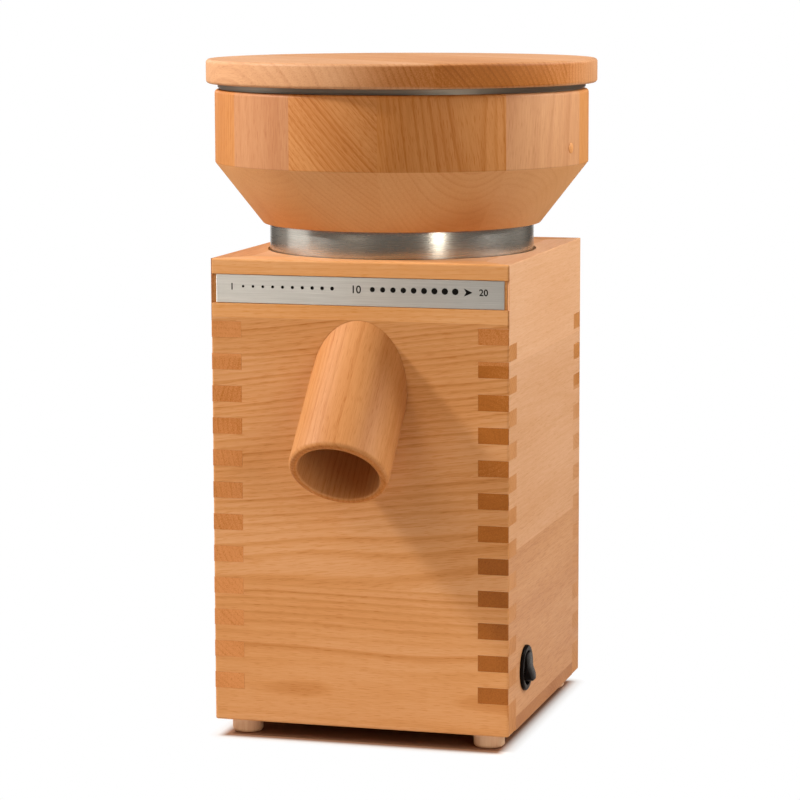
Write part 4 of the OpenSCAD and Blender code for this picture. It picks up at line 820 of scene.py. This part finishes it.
def studio_floor():
    """A pale floor that goes to white for the eye and keeps the rendered shadow close round the mill, with a
    painted shadow of dark brown under it and within a few millimetres of it.
    """
    form = bmesh.new()
    bmesh.ops.create_circle(form, cap_ends=True, segments=96, radius=3.0)
    floor = stood("studio_floor", written(form, "studio_floor"))
    material, tree = new_material("white_table_painted_shadow")
    place = add(tree, "ShaderNodeTexCoord", out="Object")
    about = add(tree, "ShaderNodeVectorMath", {0: place, 1: (0, MILL_Y * MM, 0)}, operation="SUBTRACT")
    outwards = add(tree, "ShaderNodeVectorMath", {0: about}, operation="ABSOLUTE")
    past = add(tree, "ShaderNodeVectorMath", {0: outwards, 1: GROUND}, operation="SUBTRACT")
    outside = add(tree, "ShaderNodeVectorMath", {0: past, 1: (0, 0, 0)}, operation="MAXIMUM")
    distance = add(tree, "ShaderNodeVectorMath", {0: outside}, "Value", operation="LENGTH")
    far = add(tree, "ShaderNodeMapRange", {"Value": distance, "From Min": 0.0, "From Max": WHITE_FROM},
              interpolation_type="SMOOTHSTEP")
    # past half a metre it is dark to all but the eye, so that it throws little light up at the mill
    round_it = add(tree, "ShaderNodeVectorMath", {0: about}, "Value", operation="LENGTH")
    pale = add(tree, "ShaderNodeMapRange", {
        "Value": round_it, "From Min": 0.4, "From Max": 0.55, "To Min": 0.78, "To Max": 0.15},
        interpolation_type="SMOOTHSTEP")
    # painted shadow: close to the mill the floor's colour is a dark brown
    painted_shadow_share = add(tree, "ShaderNodeMapRange", {"Value": distance, "From Min": 0.0, "From Max": PAINTED_SHADOW_WITHIN})
    tone = add(tree, "ShaderNodeMix", {"Factor": painted_shadow_share, "A": hexed("#93705a"), "B": pale},
               "Result", data_type="RGBA")
    table = add(tree, "ShaderNodeBsdfDiffuse", {"Color": tone})
    white = add(tree, "ShaderNodeEmission", {"Color": (1, 1, 1, 1), "Strength": 1.0})
    seen = add(tree, "ShaderNodeMixShader", {"Fac": far, 1: table, 2: white})
    camera_ray = add(tree, "ShaderNodeLightPath", out="Is Camera Ray")
    close_material(tree, add(tree, "ShaderNodeMixShader", {"Fac": camera_ray, 1: table, 2: seen}))
    floor.data.materials.append(material)


def softbox(name, azimuth, elevation, distance, width, height, power, colour="#ffffff"):
    """A soft lamp of so many watts aimed at the mill; azimuth 0 is in front of the spout and 90 on the
    switch's side."""
    lamp = bpy.data.lights.new(name, "AREA")
    lamp.shape, lamp.size, lamp.size_y, lamp.energy = "RECTANGLE", width, height, power
    lamp.color = hexed(colour)[:3]
    stand = stood(name, lamp)
    a, e = math.radians(azimuth), math.radians(elevation)
    out = Vector((math.sin(a) * math.cos(e), -math.cos(a) * math.cos(e), math.sin(e)))
    stand.location = AIM + distance * out
    stand.rotation_euler = (stand.location - AIM).to_track_quat("Z", "Y").to_euler()


def studio_world():
    """White for the eye, a bright strip in dark surroundings for the steel to mirror, and a low warm fill for
    everything else."""
    world = bpy.data.worlds.new("studio")
    bpy.context.scene.world = world
    world.use_nodes = True
    tree = world.node_tree
    tree.nodes.clear()
    way = add(tree, "ShaderNodeTexCoord", out="Generated")
    behind = add(tree, "ShaderNodeVectorMath", {0: way, 1: (-0.27, 0.96, 0)}, "Value",
                 operation="DOT_PRODUCT")
    mirrored = add(tree, "ShaderNodeValToRGB", {0: behind}, stops=[
        (0.0, (0.2, 0.19, 0.18, 1)), (0.6, (0.4, 0.38, 0.36, 1)), (0.8, (0.14, 0.13, 0.12, 1)),
        (0.92, (0.14, 0.13, 0.12, 1)), (0.985, (1, 1, 1, 1))])
    fill = add(tree, "ShaderNodeBackground", {"Color": hexed("#ffcc8e"), "Strength": 0.21})
    steel_view = add(tree, "ShaderNodeBackground", {"Color": mirrored})
    white = add(tree, "ShaderNodeBackground", {"Color": (1, 1, 1, 1), "Strength": 1.0})
    glossy = add(tree, "ShaderNodeLightPath", out="Is Glossy Ray")
    eye = add(tree, "ShaderNodeLightPath", out="Is Camera Ray")
    through = add(tree, "ShaderNodeLightPath", out="Is Transmission Ray")
    straight = add(tree, "ShaderNodeMath", {0: eye, 1: through}, operation="MAXIMUM")
    first = add(tree, "ShaderNodeMixShader", {"Fac": glossy, 1: fill, 2: steel_view})
    second = add(tree, "ShaderNodeMixShader", {"Fac": straight, 1: first, 2: white})
    tree.links.new(second, add(tree, "ShaderNodeOutputWorld").inputs["Surface"])


def studio_camera():
    """A long lens, 15.7 degrees round from the front and looking 7.9 degrees down."""
    yaw, pitch, roll = (math.radians(a) for a in (15.725, 7.931, -0.146))
    sensor, focal_px, image_px = 36, 3106.4, 800
    stands = Vector((496.42, MILL_Y - 1768.47, 443.61)) * MM
    ahead = Vector((-math.sin(yaw) * math.cos(pitch), math.cos(yaw) * math.cos(pitch), -math.sin(pitch)))
    right = Vector((math.cos(yaw), math.sin(yaw), 0))
    up = right.cross(ahead)
    across = math.cos(roll) * right + math.sin(roll) * up
    upright = math.cos(roll) * up - math.sin(roll) * right
    lens = bpy.data.cameras.new("studio_camera")
    lens.sensor_width, lens.lens = sensor, sensor * focal_px / image_px
    camera = stood("studio_camera", lens)
    camera.matrix_world = Matrix.Translation(stands) @ Matrix((across, upright, -ahead)).transposed().to_4x4()
    bpy.context.scene.camera = camera


studio_floor()
studio_world()
softbox("left_softbox", -70, 38, 1.5, 0.18, 0.18, 23.5)                 # the key: draws the spout's shadow
softbox("front_softbox", -28, 37, 1.1, 0.4, 0.35, 2.5, "#fff0e0")       # fills in the front
softbox("side_softbox", 105, 38, 0.8, 0.3, 0.3, 4.8)                    # lights the switch's side
softbox("right_strip", 47, 18, 1.4, 0.22, 0.8, 4.0, "#fffaf0")          # the highlight on the ring
softbox("left_card", -85, 5, 1.2, 0.6, 0.5, 0.9)                        # lifts the left edges
softbox("back_softbox", -130, 25, 1.5, 0.8, 0.8, 3.8)                   # lights the back and left side
studio_camera()
bpy.context.scene.view_settings.view_transform = "Standard"
